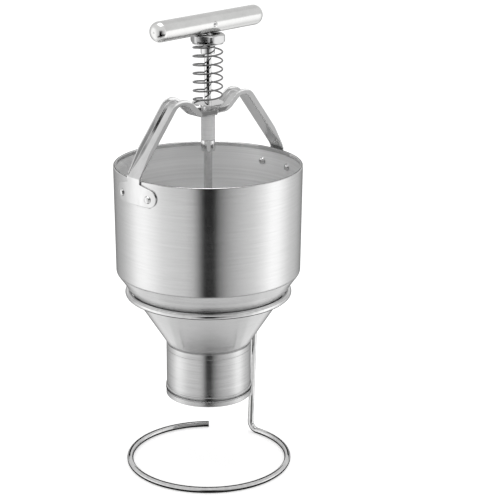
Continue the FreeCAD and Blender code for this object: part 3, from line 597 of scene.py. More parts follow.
hopperSet = {
    "rimRadius": 90.0, "rimHeight": 305.5, "wall": 1.2,
    "hemWidth": 2.1, "hemHeight": 4.0, "hemRoundness": 0.97, "hemEdge": 0.35, "hemSlope": 0.2,
    "shoulderRadius": 88.8, "shoulderHeight": 201.0, "shoulderRound": 5.0,
    "chamferRadius": 82.0, "chamferHeight": 191.5, "chamferRound": 4.0, "coneWall": 1.426,
    "neckRadius": 40.6, "neckHeight": 127.0, "neckRound": 1.0, "neckStep": 0.2,
    "spigotRadius": 40.4, "spigotFoot": 118.4, "spigotEdge": 0.3,
}
outletSet = {
    "bore": 39.2, "radius": 41.4, "height": 72.5, "top": 126.4, "counterbore": 40.5, "counterboreFoot": 118.3,
    "topEdge": 0.25, "boreEdge": 0.4, "edge": 0.12,
    "grooveTop": 121.9, "grooveWidth": 0.9, "grooveDepth": 0.4, "grooveRound": 0.1,
    "beadFoot": 78.4, "beadTop": 82.4, "beadRadius": 42.3, "beadRound": 0.66, "beadSlope": 0.2,
    "beadFillet": 0.3, "lipTop": 77.6, "lipRadius": 41.9, "lipRound": 0.9, "lipEdge": 0.2,
}


def makeHopper():
    s = named(hopperSet)
    bore = outletSet["bore"]
    hemRadius, hemFoot = s.rimRadius - s.hemWidth, s.rimHeight - s.hemHeight
    hemRound = s.hemWidth / 2 * s.hemRoundness
    corners = [
        (s.spigotRadius, s.spigotFoot, s.spigotEdge),
        (s.spigotRadius, s.neckHeight - s.neckStep),
        (s.neckRadius, s.neckHeight),
        (s.chamferRadius, s.chamferHeight, s.chamferRound),
        (s.shoulderRadius, s.shoulderHeight, s.shoulderRound),
        (s.rimRadius, s.rimHeight, hemRound),
        (hemRadius, s.rimHeight, hemRound),
        (hemRadius, hemFoot, s.hemEdge),
        (s.rimRadius - s.wall, hemFoot - s.hemSlope),
        (s.shoulderRadius - s.wall, s.shoulderHeight, s.shoulderRound - s.wall),
        (s.chamferRadius - s.coneWall, s.chamferHeight, s.chamferRound + s.wall),
        (bore, s.neckHeight, s.neckRound),
        (bore, s.spigotFoot),
    ]
    mesh = turnedMesh("hopperShell", corners, 256, 8)
    finishPiece("hopperShell", mesh, hopperSteel, "hopper", "hopper_shell")
    # the inner wall takes the paler copy of the steel: painted light on the inside
    mesh.materials.append(paintedLightInsideSteel)
    for face in mesh.polygons:
        inward = face.normal.x * face.center.x + face.normal.y * face.center.y < 0
        if inward and face.center.z < hemFoot * mm:
            face.material_index = 1


def makeOutlet():
    s = named(outletSet)
    grooveRadius, grooveFoot = s.radius - s.grooveDepth, s.grooveTop - s.grooveWidth
    corners = [
        (s.counterbore, s.top),
        (s.radius, s.top, s.topEdge),
        (s.radius, s.grooveTop, s.edge),
        (grooveRadius, s.grooveTop, s.grooveRound),
        (grooveRadius, grooveFoot, s.grooveRound),
        (s.radius, grooveFoot, s.edge),
        (s.radius, s.beadTop, s.beadFillet),
        (s.beadRadius, s.beadTop - s.beadSlope, s.beadRound),
        (s.beadRadius, s.beadFoot + s.beadSlope, s.beadRound),
        (s.radius, s.beadFoot, s.edge),
        (s.radius, s.lipTop, s.edge),
        (s.lipRadius, s.lipTop, s.lipEdge),
        (s.lipRadius, s.height, s.lipRound),
        (s.bore, s.height, s.boreEdge),
        (s.bore, s.counterboreFoot),
        (s.counterbore, s.counterboreFoot),
    ]
    mesh = turnedMesh("outletTube", corners, 192, 4)
    finishPiece("outletTube", mesh, outletSteel, "hopper", "outlet_tube")


makeHopper()
makeOutlet()
print("hopper and outlet turned")


# Wire stand

standSet = {
    "wire": 6.0, "endEase": 0.35, "around": 32,
    "ringRadius": 77.6, "ringHeight": 178.72, "ringSteps": 240,
    "baseRadius": 78.75, "startAngle": 8.9, "baseAngle": 320.2, "baseSteps": 220,
    "legBend": 9.0, "legLean": 2.2, "legShort": 1.6,  # the leg's top ends this far under the ring's middle
    # the weld's outline, and its ripples: how many go round and how far they swell
    "weld": [
        (2.9, -4.2), (3.15, -3.7), (3.7, -2.6), (4.15, -1.4), (4.2, -0.2), (3.7, 0.8), (2.6, 1.3), (0, 1.5),
    ],
    "fineRipples": (9, 0.035), "wideRipples": (4, 0.02), "weldAround": 64,
}


# A round wire along a chain of edges; the points' radius attribute eases its ends
def wireTree():
    tree, given = newTree("roundWire", {"Wire Radius": "Float", "Points Around": "Int", "Finish": "Material"})
    line = addNode(tree, "GeometryNodeMeshToCurve", {"Mesh": given["Geometry"]})
    circle = addNode(tree, "GeometryNodeCurvePrimitiveCircle", {
        "Resolution": given["Points Around"], "Radius": given["Wire Radius"],
    })
    wire = addNode(tree, "GeometryNodeCurveToMesh", {
        "Curve": line, "Profile Curve": circle, "Fill Caps": True,
    })
    return closeTree(tree, wire, given["Finish"])


roundWire = wireTree()


def wirePiece(name, points, node, closed=False):
    s = named(standSet)
    mesh = bpy.data.meshes.new(name)
    count = len(points)
    edges = [(index, index + 1) for index in range(count - 1)] + ([(count - 1, 0)] if closed else [])
    mesh.from_pydata([point * mm for point in points], edges, [])
    sizes = mesh.attributes.new("radius", "FLOAT", "POINT")
    for index in range(count):
        atEnd = not closed and index in (0, count - 1)
        sizes.data[index].value = 1 - s.endEase * 2 / s.wire if atEnd else 1.0
    inputs = {"Wire Radius": s.wire / 2 * mm, "Points Around": s.around, "Finish": wireSteel}
    mesh = shaded(grownMesh(name, roundWire, inputs, mesh), 40)
    finishPiece(name, mesh, wireSteel, "stand", node)


# The arc that rounds a corner between two runs, as points
def arcPoints(before, corner, after, radius, steps):
    inward, outward = (before - corner).normalized(), (after - corner).normalized()
    half = inward.angle(outward) / 2
    reach = radius / tan(half)
    middle = corner + (inward + outward).normalized() * (radius / sin(half))
    first, last = corner + inward * reach - middle, corner + outward * reach - middle
    axis = first.cross(last).normalized()
    sweep = first.angle(last)
    return [middle + Matrix.Rotation(sweep * step / steps, 3, axis) @ first for step in range(steps + 1)]


# The base ring, its bend and the leg are one wire; the leg's top runs into the support ring
def makeStand():
    s = named(standSet)
    level = s.wire / 2
    first, turn, lean = (radians(angle) for angle in (s.startAngle, s.baseAngle, s.legLean))
    heading = Vector((sin(first), -cos(first), 0))
    upward = Vector((0, 0, 1)) * cos(lean) + heading * sin(lean)
    start = polar(s.baseRadius, first, level)
    corner = start - heading * s.legBend * tan((pi / 2 + lean) / 2)
    legTop = corner + upward * ((s.ringHeight - s.legShort - level) / cos(lean))
    bend = arcPoints(legTop, corner, start + heading, s.legBend, 14)
    leg = [legTop, legTop - upward * s.endEase] + [legTop.lerp(bend[0], share / 12) for share in range(1, 12)]
    angles = [first - turn * step / s.baseSteps for step in range(1, s.baseSteps + 1)]
    base = [polar(s.baseRadius, angle, level) for angle in angles]
    base.insert(-1, base[-1] + (base[-2] - base[-1]).normalized() * s.endEase)
    wirePiece("baseWire", leg + bend + base, "base_wire")
    angles = [2 * pi * step / s.ringSteps for step in range(s.ringSteps)]
    ring = [polar(s.ringRadius, angle, s.ringHeight) for angle in angles]
    wirePiece("supportRing", ring, "support_ring", closed=True)
    makeWeld(legTop, upward)


# The weld that joins leg and ring: a bead round the leg's top, rippled as the torch left it
def makeWeld(legTop, upward):
    s = named(standSet)
    (fine, fineSwell), (wide, wideSwell) = s.fineRipples, s.wideRipples
    rows = []
    for radius, height in s.weld:
        row = []
        for step in range(s.weldAround):
            angle = 2 * pi * step / s.weldAround
            swell = fineSwell * sin(fine * angle + height) + wideSwell * sin(wide * angle)
            row.append(polar(radius * (1 + swell), angle, height))
        rows.append(row)
    mesh = shaded(skinMesh("legWeld", rows, place=axisAlong(legTop, upward)), 60)
    finishPiece("legWeld", mesh, wireSteel, "stand", None)


makeStand()
print("stand bent and welded")


# Arch of two bent arms

archSet = {
    "saddle": 353.2, "rightRise": 1.5, "width": 18.2, "depth": 5.5, "sheet": 1.5, "bendOutside": 2.1,
    "edgeRound": 0.35, "edgeBand": 1.6, "foldFade": 0.9, "saddleFlat": 11.3, "valleyBend": 16.0,
    "valleyAngle": 41.0, "peakRise": 14.7, "peakBend": 10.0, "crossRise": 1.0, "footBend": 1.5,
    "footGap": 0.06,
    # from this far out the strip may taper, and over the last of its way down it wraps the hopper
    "taperFrom": 60, "taperRise": 21.5, "wrapRise": 6, "wrapFade": 7,
    "flangeEnd": 3.3, "flangeSpace": 4.0, "tongueHalf": 7.2, "tongueEnd": 1.7,
    "neckInset": 0.5, "neckDrop": 3.0, "footBelow": 7.3, "lobeRadius": 8.4, "lobeOffset": 1.0,
    "rivetSpread": 18.0, "rivetDrop": 15.5, "hole": 4.97, "holeBelow": 5, "holeAbove": 9,
}
footRadius = hopperSet["rimRadius"] + archSet["footGap"]


# The arm's underside from the saddle to the neck of the foot, as places and headings; then the way down and
# the point where the strip turns down the wall
def armStations(saddle):
    s = named(archSet)
    rise = radians(s.valleyAngle)
    bends = s.valleyBend + s.peakBend
    climb = s.peakRise - bends * (1 - cos(rise))
    across = s.saddleFlat + bends * sin(rise) + climb / tan(rise)
    centre = Vector((across, s.saddle + s.peakRise - s.peakBend))
    crossing = Vector((footRadius, hopperSet["rimHeight"] + s.crossRise))
    reach = crossing - centre
    turn = atan2(reach.x, reach.y) - acos(s.peakBend / reach.length)
    flat = s.saddleFlat + (saddle - s.saddle) / tan(rise)
    stations = []

    def straight(near, far, count):
        heading = (far - near).normalized()
        stations.extend((near.lerp(far, index / count), heading) for index in range(count + 1))

    def arc(middle, radius, first, last, count, side):
        for index in range(count + 1):
            angle = first + (last - first) * index / count
            spoke = Vector((sin(angle), cos(angle)))
            stations.append((middle + spoke * radius, Vector((spoke.y, -spoke.x)) * side))

    straight(Vector((0, saddle)), Vector((flat, saddle)), 6)
    arc(Vector((flat, saddle + s.valleyBend)), s.valleyBend, pi, pi - rise, 12, -1)
    straight(stations[-1][0], centre + Vector((-sin(rise), cos(rise))) * s.peakBend, 3)
    arc(centre, s.peakBend, -rise, turn, 20, 1)
    downhill = Vector((cos(turn), -sin(turn)))
    footStart = crossing - downhill * (s.footBend * tan((pi / 2 - turn) / 2))
    straight(stations[-1][0], footStart, 30)
    footMiddle = footStart + Vector((-downhill.y, downhill.x)) * -s.footBend
    arc(footMiddle, s.footBend, turn, pi / 2, 8, 1)
    straight(stations[-1][0], Vector((crossing.x, hopperSet["rimHeight"] - s.neckDrop)), 3)
    tidy = [stations[0]]
    for place, heading in stations[1:]:
        if (place - tidy[-1][0]).length > 1e-4:
            tidy.append((place, heading))
        else:
            tidy[-1] = (place, (tidy[-1][1] + heading).normalized())
    return tidy, downhill, crossing


# Half of the strip's section as points (across, above the underside), from the middle out to the edge and
# back. A low section is the plain strip, a high one the channel; between them one grows into the other
def halfSection(half, height):
    s = named(archSet)
    sheet, outside, ease, band = s.sheet, s.bendOutside, s.edgeRound, s.edgeBand
    inside = outside - sheet
    webSteps, bendSteps, easeSteps = 5, 6, 3
    flange = max(height, sheet + inside + ease + 0.05)

    def arc(x, y, radius, first, last, steps):
        angles = [radians(first + (last - first) * step / steps) for step in range(steps + 1)]
        return [Vector((x + radius * cos(angle), y + radius * sin(angle))) for angle in angles]

    # the web's underside, what follows it, and the web's top
    def section(web, outline):
        under = [Vector((web * step / webSteps, 0)) for step in range(webSteps)]
        over = [Vector((web * (1 - step / webSteps), sheet)) for step in range(1, webSteps + 1)]
        return under + outline + over

    folded = section(half - outside, (
        arc(half - outside, outside, outside, -90, 0, bendSteps)
        + arc(half - ease, flange - ease, ease, 0, 90, easeSteps)
        + arc(half - sheet + ease, flange - ease, ease, 90, 180, easeSteps)
        + arc(half - sheet - inside, sheet + inside, inside, 0, -90, bendSteps)
    ))
    edge = [Vector((half - band + (band - ease) * step / 3, 0)) for step in range(4)]
    edge += arc(half - ease, ease, ease, -60, 0, 2) + arc(half - ease, sheet - ease, ease, 0, 90, easeSteps)
    after = len(folded) - len(edge) - 2 * webSteps
    edge += [Vector((half - ease - (band - ease) * (step + 1) / after, sheet)) for step in range(after)]
    share = limited((height - sheet) / s.foldFade)
    return [flat.lerp(bent, share) for flat, bent in zip(section(half - band, edge), folded)]


# The whole section, closed, from its halves; it starts at one flange's edge, so that the strips which close
# an end run from the outside to the inside of the sheet
def wholeSection(half, height):
    side = halfSection(half, height)
    mirrored = [Vector((-point.x, point.y)) for point in side]
    edge = len(side) // 2
    return mirrored[edge - 1:0:-1] + side + mirrored[-2:edge - 1:-1]


# One row of the arm: the section set on a station, pulled round the hopper by the share given
def armRow(place, heading, section, wrap):
    normal = Vector((-heading.y, heading.x))
    row = []
    for across, above in section:
        x = place.x + normal.x * above
        if wrap:
            x -= wrap * (x - sqrt(x * x - across * across))
        row.append(Vector((x, across, place.y + normal.y * above)))
    return row


# The two round lobes of the foot: half width at each height from the neck to the flat bottom
def footRows():
    s = named(archSet)
    rim = hopperSet["rimHeight"]
    centre = Vector((s.rivetSpread + s.lobeOffset, rim - s.rivetDrop - s.footBelow + s.lobeRadius))
    neck = Vector((s.width / 2 - s.neckInset, rim - s.neckDrop))
    toNeck = neck - centre
    touch = atan2(toNeck.y, toNeck.x) - acos(s.lobeRadius / toNeck.length)
    angles = [touch + (-pi / 2 - touch) * step / 16 for step in range(17)]
    lobe = [centre + Vector((cos(angle), sin(angle))) * s.lobeRadius for angle in angles]
    return [neck.lerp(lobe[0], step / 6) for step in range(1, 7)] + lobe[1:]


def armMesh(name, saddle, flangeFrom, facing):
    s = named(archSet)
    stations, downhill, crossing = armStations(saddle)
    taper = s.taperRise / -downhill.y
    foot = Vector((footRadius + s.sheet, crossing.y))
    kept = [station for station in stations if flangeFrom < 0 or station[0].x > flangeFrom + 0.2]
    rows = []
    for place, heading in [(Vector((flangeFrom, saddle)), stations[0][1])] + kept:
        height, wrap, inset = s.depth, 0, 0
        if place.x > s.taperFrom:
            height = s.sheet + (s.depth - s.sheet) * limited((foot - place).dot(downhill) / taper)
            wrap = limited((crossing.y + s.wrapRise - place.y) / s.wrapFade)
            inset = s.neckInset * limited((crossing.y - place.y) / (s.neckDrop + s.crossRise))
        rows.append(armRow(place, heading, wholeSection(s.width / 2 - inset, height), wrap))
    for width, height in footRows():
        rows.append(armRow(Vector((footRadius, height)), Vector((0, -1)), wholeSection(width, s.sheet), 1))
    return skinMesh(name, rows, place=Matrix.Rotation(facing, 3, "Z"))


# The tongue: the web alone, from where the flanges stop to its round end past the axis
def tongueMesh(name, saddle, flangeFrom, half, facing):
    widths = [(flangeFrom * (1 - step / 3), half) for step in range(3)] if flangeFrom > 0 else []
    start = acos(limited(-flangeFrom / half))
    for angle in [start * (1 - step / 12) for step in range(13)]:
        widths.append((-half * cos(angle), max(half * sin(angle), archSet["tongueEnd"])))
    along, sheet = Vector((1, 0)), archSet["sheet"]
    rows = [armRow(Vector((x, saddle)), along, wholeSection(width, sheet), 0) for x, width in widths]
    return skinMesh(name, rows, place=Matrix.Rotation(facing, 3, "Z"))


def joinedMesh(name, meshes):
    shape = bmesh.new()
    for mesh in meshes:
        shape.from_mesh(mesh)
    return madeMesh(name, shape)


def makeArms():
    s = named(archSet)
    below, above = s.saddle - s.holeBelow, s.saddle + s.holeAbove
    hole = turnedMesh("hole", [(0, below), (s.hole, below), (s.hole, above), (0, above)], 64)
    plans = {
        "Left": (pi, s.saddle, -s.flangeEnd, s.width / 2),
        "Right": (0, s.saddle + s.rightRise, s.flangeEnd + s.flangeSpace, s.tongueHalf),
    }
    for side, (facing, saddle, flangeFrom, tongueHalf) in plans.items():
        name = f"archArm{side}"
        strip = armMesh(name, saddle, flangeFrom, facing)
        tongue = tongueMesh(name, saddle, flangeFrom, tongueHalf, facing)
        mesh = joinedMesh(name, [cutMesh(name, part, [hole]) for part in (strip, tongue)])
        finishPiece(name, shaded(mesh, 35), armSteel, "hopper", f"arch_arm_{side.lower()}")


makeArms()
print("arms folded")


# Rivets

rivetSet = {
    "head": 3.7, "dome": 2.2, "edge": 0.3, "edgeRound": 0.1, "shank": 2.4, "shankLength": 1.0, "play": 0.05,
    "wallTaper": 1.2, "wallHeight": 104.5, "innerDrop": 1.3, "footEdge": 0.15,
    "domeShape": [(0.76, 0.72, 0.5), (0.40, 0.95, 1.2)],  # shares of the head and the dome, and a round
}


# A head on every point, turned to the point's own direction
def rivetTree():
    tree, given = newTree("rivetHeads", {"Head": "Object", "Finish": "Material"})
    head = addNode(tree, "GeometryNodeObjectInfo", {"Object": given["Head"]})
    facing = addNode(tree, "GeometryNodeInputNamedAttribute", {"Name": "facing"}, data_type="FLOAT_VECTOR")
    turned = addNode(tree, "FunctionNodeAlignRotationToVector", {"Vector": facing}, axis="Z")
    heads = addNode(tree, "GeometryNodeInstanceOnPoints", {
        "Points": given["Geometry"], "Instance": head.outputs["Geometry"], "Rotation": turned,
    })
    return closeTree(tree, heads, given["Finish"])


def makeRivets():
    s, rim, arch = named(rivetSet), named(hopperSet), named(archSet)
    tree = rivetTree()
    head = newObject("rivetHead", turnedMesh("rivetHead", [
        (0, -s.shankLength), (s.shank, -s.shankLength), (s.shank, -s.play), (s.head - s.footEdge, -s.play),
        (s.head, s.edge * 0.5, s.edgeRound), (s.head * 0.98, s.edge, s.edgeRound),
        *[(s.head * across, s.dome * up, ease) for across, up, ease in s.domeShape], (0, s.dome),
    ], 40, 3))
    up = Vector((0, 0, rim.rimHeight - arch.rivetDrop))
    spread = asin(arch.rivetSpread / rim.rimRadius)
    drop = arch.rivetDrop + s.shank + s.innerDrop
    inner = rim.rimRadius - s.wallTaper * drop / s.wallHeight - rim.wall - s.play
    outer = footRadius + arch.sheet + s.play
    for side, facing in (("Left", pi), ("Right", 0)):
        places, directions = [], []
        for angle in (facing - spread, facing + spread):
            out = polar(1, angle)
            places += [out * outer + up, out * inner + up]
            directions += [out, -out]
        points = bpy.data.meshes.new("rivetPoints")
        points.from_pydata([place * mm for place in places], [], [])
        attribute = points.attributes.new("facing", "FLOAT_VECTOR", "POINT")
        attribute.data.foreach_set("vector", [value for direction in directions for value in direction])
        mesh = shaded(grownMesh(f"rivets{side}", tree, {"Head": head, "Finish": rivetSteel}, points), 40)
        finishPiece(f"rivets{side}", mesh, rivetSteel, "hopper", f"rivets_{side.lower()}")
    bpy.data.objects.remove(head)


makeRivets()
print("rivets set")


# Bush, seat, spring, cup and rod

rodSet = {
    "upper": 3.25, "lower": 4.0, "bottom": 63.9, "step": 318.25, "top": 444.2,
    "footRound": 0.8, "topRound": 0.6, "bore": 3.31, "gap": 0.05, "edge": 0.2,
    "collarBore": 3.28, "collarRadius": 6.7, "collarTop": 329.05, "collarRound": 0.6,
    "bushRadius": 6.65, "bushBottom": 329.1, "bushTop": 353.2, "bushRound": 0.45, "bushEdge": 0.25,
    "spigot": 4.91, "spigotTop": 362.8, "spigotRound": 0.4,
    "guideNut": 6.9, "guideFloor": 356.2, "guideTop": 363.4, "guideRound": 0.5, "guideEdge": 0.3,
    "seatRadius": 15.0, "seatFloor": 363.45, "seatTop": 364.95, "seatRound": 0.4,
    "cupRadius": 14.4, "cupHeight": 420.3, "cupTop": 421.1, "cupEdge": 0.25,
    "cupBoss": 6.71, "cupFoot": 411.0, "cupRound": 0.5, "cupFillet": 0.3,
}
springSet = {
    "radius": 13.6, "wire": 1.6, "turns": 6.52, "startAngle": 70.4, "floor": 366.05, "ceiling": 419.2,
    "solidWire": 1.9, "travel": 28.0,  # the wire of the CAD spring, and how far a press shortens it
}


# The outline of a ring on the rod, with the rounds of its edges from the bore's foot round to the bore's top
def ringOutline(bore, radius, floor, top, rounds):
    corners = ((bore, floor), (radius, floor), (radius, top), (bore, top))
    return [(*corner, ease) for corner, ease in zip(corners, rounds)]


# A turned piece, from its outline to its place on its body
def turnPiece(name, corners, segments, finish, body, node):
    finishPiece(name, turnedMesh(name, corners, segments), finish, body, node)


def makeRod():
    s = named(rodSet)
    edge, step, nutBore = s.edge, s.step - s.gap, s.spigot + s.gap
    turnPiece("plungerRod", [
        (0, s.bottom), (s.lower, s.bottom, s.footRound), (s.lower, step, edge), (s.upper, step),
        (s.upper, s.top, s.topRound), (0, s.top),
    ], 64, turnedSteel, "plunger", "plunger_rod")
    rounds = (edge, s.collarRound, s.collarRound, edge)
    collar = ringOutline(s.collarBore, s.collarRadius, s.step, s.collarTop, rounds)
    turnPiece("stopCollar", collar, 96, turnedSteel, "plunger", "stop_collar")
    turnPiece("guideBush", [
        (s.bore, s.bushBottom, s.bushEdge), (s.bushRadius, s.bushBottom, s.bushRound),
        (s.bushRadius, s.bushTop, edge), (s.spigot, s.bushTop), (s.spigot, s.spigotTop, s.spigotRound),
        (s.bore, s.spigotTop, edge),
    ], 96, bushNylon, "hopper", "guide_bush")
    rounds = (0, s.guideRound, s.guideRound, s.guideEdge)
    nut = ringOutline(nutBore, s.guideNut, s.guideFloor, s.guideTop, rounds)
    turnPiece("guideNut", nut, 64, zincSteel, "hopper", "guide_nut")
    seat = ringOutline(s.bore, s.seatRadius, s.seatFloor, s.seatTop, (edge, s.seatRound, s.seatRound, edge))
    turnPiece("springSeat", seat, 96, turnedSteel, "seat", "spring_seat")
    turnPiece("springCup", [
        (s.bore, s.cupFoot, edge), (s.cupBoss, s.cupFoot, s.cupRound), (s.cupBoss, s.cupHeight, s.cupFillet),
        (s.cupRadius, s.cupHeight, s.cupEdge), (s.cupRadius, s.cupTop, s.cupEdge), (s.bore, s.cupTop),
    ], 96, turnedSteel, "cup", "spring_cup")


# A coil of round wire with cut ends
def coilTree():
    names = ("Coil Radius", "Wire Radius", "Turns", "Height", "Floor", "Start Angle")
    tree, given = newTree("coilSpring", {**dict.fromkeys(names, "Float"), "Finish": "Material"})
    coil = addNode(tree, "GeometryNodeCurveSpiral", {
        "Resolution": 72, "Rotations": given["Turns"], "Start Radius": given["Coil Radius"],
        "End Radius": given["Coil Radius"], "Height": given["Height"], "Reverse": True,
    })
    lift = addNode(tree, "ShaderNodeCombineXYZ", {"Z": given["Floor"]})
    turn = addNode(tree, "ShaderNodeCombineXYZ", {"Z": given["Start Angle"]})
    placed = addNode(tree, "GeometryNodeTransform", {
        "Geometry": coil, "Translation": lift, "Rotation": turn,
    })
    circle = addNode(tree, "GeometryNodeCurvePrimitiveCircle", {
        "Resolution": 20, "Radius": given["Wire Radius"],
    })
    wire = addNode(tree, "GeometryNodeCurveToMesh", {
        "Curve": placed, "Profile Curve": circle, "Fill Caps": True,
    })
    return closeTree(tree, wire, given["Finish"])


def makeSpring():
    s = named(springSet)
    mesh = grownMesh("returnSpring", coilTree(), {
        "Coil Radius": s.radius * mm, "Wire Radius": s.wire / 2 * mm, "Turns": s.turns,
        "Height": (s.ceiling - s.floor) * mm, "Floor": s.floor * mm,
        "Start Angle": radians(s.startAngle), "Finish": springSteel,
    })
    spring = finishPiece("returnSpring", shaded(mesh, 45), springSteel, "seat", "return_spring")
    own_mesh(spring)
    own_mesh(bpy.data.objects["rodFlag"])


makeRod()
makeSpring()
print("rod and spring made")


# Adjusting nut, handle and its screw

nutSet = {
    "flats": 29.8, "floor": 421.15, "top": 429.4, "turn": 3.7, "bore": 3.31, "ease": 0.3, "corner": 5.0,
    "foot": (14.4, 2.4), "crown": (14.2, 1.1),  # the radius where its cone starts, and the cone's rise
}
handleSet = {
    "radius": 9.5, "length": 144.0, "round": 7.6, "height": 439.2, "turn": 6.5,
    "rodHole": 3.28, "rodHoleUp": 5.05, "screwHole": 2.23, "mouth": 0.5, "mouthDepth": 0.9,
    "screwRadius": 2.2, "screwInset": 0.5, "footChamfer": 0.4, "topChamfer": (0.25, 0.3),
    "socketFlats": 2.2, "socketDepth": 2.0, "socketEdge": 0.15, "drillDepth": 0.4,
}


# Where a six-sided bar with rounded corners has its points, once round: direction and reach from the axis
def hexColumns(flats, corner, turn):
    columns = []
    offset = (flats / 2 - corner) / cos(pi / 6)
    half = offset * sin(pi / 6)
    for side in range(6):
        middle = radians(turn) + side * pi / 3
        away = polar(1, middle)
        along = Vector((-away.y, away.x, 0))
        columns += [away * flats / 2 + along * half * (step / 4 - 1) for step in range(8)]
        centre = polar(1, middle + pi / 6) * offset
        columns += [centre + polar(1, middle + pi / 3 * step / 8) * corner for step in range(8)]
    return [(point.normalized(), point.length) for point in columns]


# A six-sided nut; its cones meet the flats in true curves because every column finds its own height. A cone
# at the foot or the crown is the radius where it starts and its rise at the corners
def nutMesh(name, flats, bore, floor, top, turn=0, foot=None, crown=None, ease=0.15, rounding=0.4):
    corner = flats / 2 / cos(pi / 6)

    # where a face ends at this reach, and how far the cone has gone by then
    def cone(reach, shape):
        start, rise = shape or (corner, 0)
        return min(start, reach), rise * max(reach - start, 0) / (corner - start) if rise else 0

    rows = [[] for _ in range(6)]
    for direction, reach in hexColumns(flats, rounding, turn + 30):
        (footRadius, footUp), (crownRadius, crownDown) = cone(reach, foot), cone(reach, crown)
        levels = [
            (bore, floor), (footRadius, floor), (reach, floor + footUp),
            (reach, top - crownDown), (crownRadius, top), (bore, top),
        ]
        for row, (radius, height) in zip(rows, levels):
            row.append(direction * radius + Vector((0, 0, height)))
    return easedMesh(name, skinMesh(name, rows, endless=True), ease)


def makeNut():
    s = named(nutSet)
    mesh = nutMesh("adjustingNut", s.flats, s.bore, s.floor, s.top, s.turn, s.foot, s.crown, s.ease, s.corner)
    finishPiece("adjustingNut", mesh, nutSteel, "nut", "adjusting_nut")


def makeHandle():
    s = named(handleSet)
    turn = radians(s.turn)
    centre = Vector((0, 0, s.height))
    lengthwise = axisAlong(centre, Vector((cos(turn), sin(turn), 0)))
    sideways = axisAlong(centre, Vector((sin(turn), -cos(turn), 0)))
    half = s.length / 2
    ends = [(0, -half), (s.radius, -half, s.round), (s.radius, half, s.round), (0, half)]
    bar = turnedMesh("handleBar", ends, 96, 12, lengthwise)
    below, above = s.height - 20, s.height + s.rodHoleUp
    rodHole = turnedMesh("rodHole", [(0, below), (s.rodHole, below), (s.rodHole, above), (0, above)], 48)
    wide, outside = s.screwHole + s.mouth, s.radius + 1
    screwHole = turnedMesh("screwHole", [
        (0, 0), (s.screwHole, 0), (s.screwHole, s.radius - s.mouthDepth), (wide, s.radius - 0.1),
        (wide, outside), (0, outside),
    ], 48, 3, sideways)
    bar = cutMesh("handleBar", bar, [rodHole, screwHole])
    finishPiece("handleBar", bar, handleAluminium, "plunger", "handle_bar")
    makeScrew(sideways)


# A set screw with a chamfered rim and a hexagon socket
def makeScrew(place):
    s = named(handleSet)
    foot, top, bottom = s.rodHole, s.radius - s.screwInset, s.radius - s.screwInset - s.socketDepth
    socket, edge, easing, (inset, drop) = s.socketFlats / 2, s.socketEdge, s.footChamfer, s.topChamfer
    turned = [
        (0, foot), (s.screwRadius - easing, foot), (s.screwRadius, foot + easing),
        (s.screwRadius, top - drop), (s.screwRadius - inset, top),
    ]
    sixSided = [(socket + edge, top), (socket, top - edge), (socket, bottom), (0, bottom - s.drillDepth)]
    angles = [2 * pi * index / 48 for index in range(48)]
    spread = [1 / cos((angle + pi / 6) % (pi / 3) - pi / 6) for angle in angles]
    rows = [[polar(radius, angle, height) for angle in angles] for radius, height in turned]
    for radius, height in sixSided:
        rows.append([polar(radius * reach, angle, height) for angle, reach in zip(angles, spread)])
    mesh = shaded(skinMesh("handleScrew", rows, place=place), 30)
    finishPiece("handleScrew", mesh, turnedSteel, "plunger", "handle_screw")


makeNut()
makeHandle()
print("nut and handle made")


# Piston, cutter and what clamps them on the rod

plungerSet = {
    "bore": 4.03, "edge": 0.2,
    "pistonRadius": 38.5, "pistonBottom": 133.0, "pistonTop": 141.0, "pistonRound": 0.6, "grooveEdge": 0.15,
    "sealFoot": 36.5, "sealFloor": 135.5, "sealTop": 138.5, "sealRadius": 38.9, "sealRound": 0.8,
    "sealPlay": 0.05, "nutFlats": 13.0, "nutHeight": 6.5, "chamferInset": 0.1, "chamferSlope": 0.6,
    "spacerRadius": 7.03, "spacerRound": 0.3, "washerRadius": 10.006, "washerFloor": 72.9,
    "cutterBottom": 74.5, "cutterTop": 84.0, "cutterRadius": 38.8, "cutterEdge": 3.0, "cutterSharp": 0.15,
    "cutterRound": 0.4, "hubRadius": 9.03, "hubFillet": 0.8,
    "acornHexFloor": 66.9, "acornFloor": 61.9, "acornRadius": 5.8, "acornRound": 4.2, "acornHole": 63.8,
}


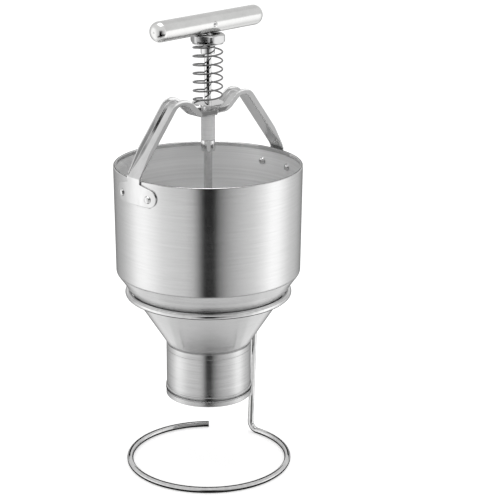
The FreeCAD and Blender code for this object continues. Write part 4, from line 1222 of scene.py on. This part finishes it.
def makePlunger():
    s = named(plungerSet)
    bore, edge, play, ease = s.bore, s.edge, s.sealPlay, s.spacerRound
    turnPiece("upperPiston", [
        (bore, s.pistonBottom, edge), (s.pistonRadius, s.pistonBottom, s.pistonRound),
        (s.pistonRadius, s.sealFloor, s.grooveEdge), (s.sealFoot, s.sealFloor), (s.sealFoot, s.sealTop),
        (s.pistonRadius, s.sealTop, s.grooveEdge), (s.pistonRadius, s.pistonTop, s.pistonRound),
        (bore, s.pistonTop, edge),
    ], 128, plateSteel, "plunger", "upper_piston")
    rounds = (0, s.sealRound, s.sealRound, 0)
    seal = ringOutline(s.sealFoot + play, s.sealRadius, s.sealFloor + play, s.sealTop - play, rounds)
    turnPiece("pistonSeal", seal, 128, sealSilicone, "plunger", "piston_seal")
    spacer = ringOutline(bore, s.spacerRadius, s.cutterTop, s.pistonBottom, (ease, ease, ease, ease))
    turnPiece("spacerTube", spacer, 64, turnedSteel, "plunger", "spacer_tube")
    turnPiece("cutterDisc", [
        (bore, s.cutterBottom), (s.cutterRadius, s.cutterBottom, s.cutterSharp),
        (s.cutterRadius, s.cutterBottom + s.cutterEdge, s.cutterRound),
        (s.hubRadius, s.cutterTop, s.hubFillet), (bore, s.cutterTop),
    ], 128, plateSteel, "plunger", "cutter_disc")
    washer = ringOutline(bore, s.washerRadius, s.washerFloor, s.cutterBottom, (edge, 0.4, 0.3, edge))
    turnPiece("cutterWasher", washer, 64, turnedSteel, "plunger", "cutter_washer")
    half = s.nutFlats / 2
    chamfer = (half - s.chamferInset, (half / cos(pi / 6) - half) * s.chamferSlope)
    mesh = nutMesh("pistonNut", s.nutFlats, bore, s.pistonTop, s.pistonTop + s.nutHeight, crown=chamfer)
    finishPiece("pistonNut", mesh, turnedSteel, "plunger", "piston_nut")
    hexPart = nutMesh("acornHex", s.nutFlats, bore, s.acornHexFloor, s.washerFloor, foot=chamfer)
    seam = s.acornHexFloor + 1  # the dome reaches into the six-sided part
    dome = turnedMesh("acornDome", [
        (0, s.acornFloor), (s.acornRadius, s.acornFloor, s.acornRound), (s.acornRadius, seam), (bore, seam),
        (bore, s.acornHole), (0, s.acornHole),
    ], 48, 8)
    mesh = shaded(joinedMesh("acornNut", [hexPart, dome]), 40)
    finishPiece("acornNut", mesh, turnedSteel, "plunger", "acorn_nut")


makePlunger()
print("piston and cutter made")
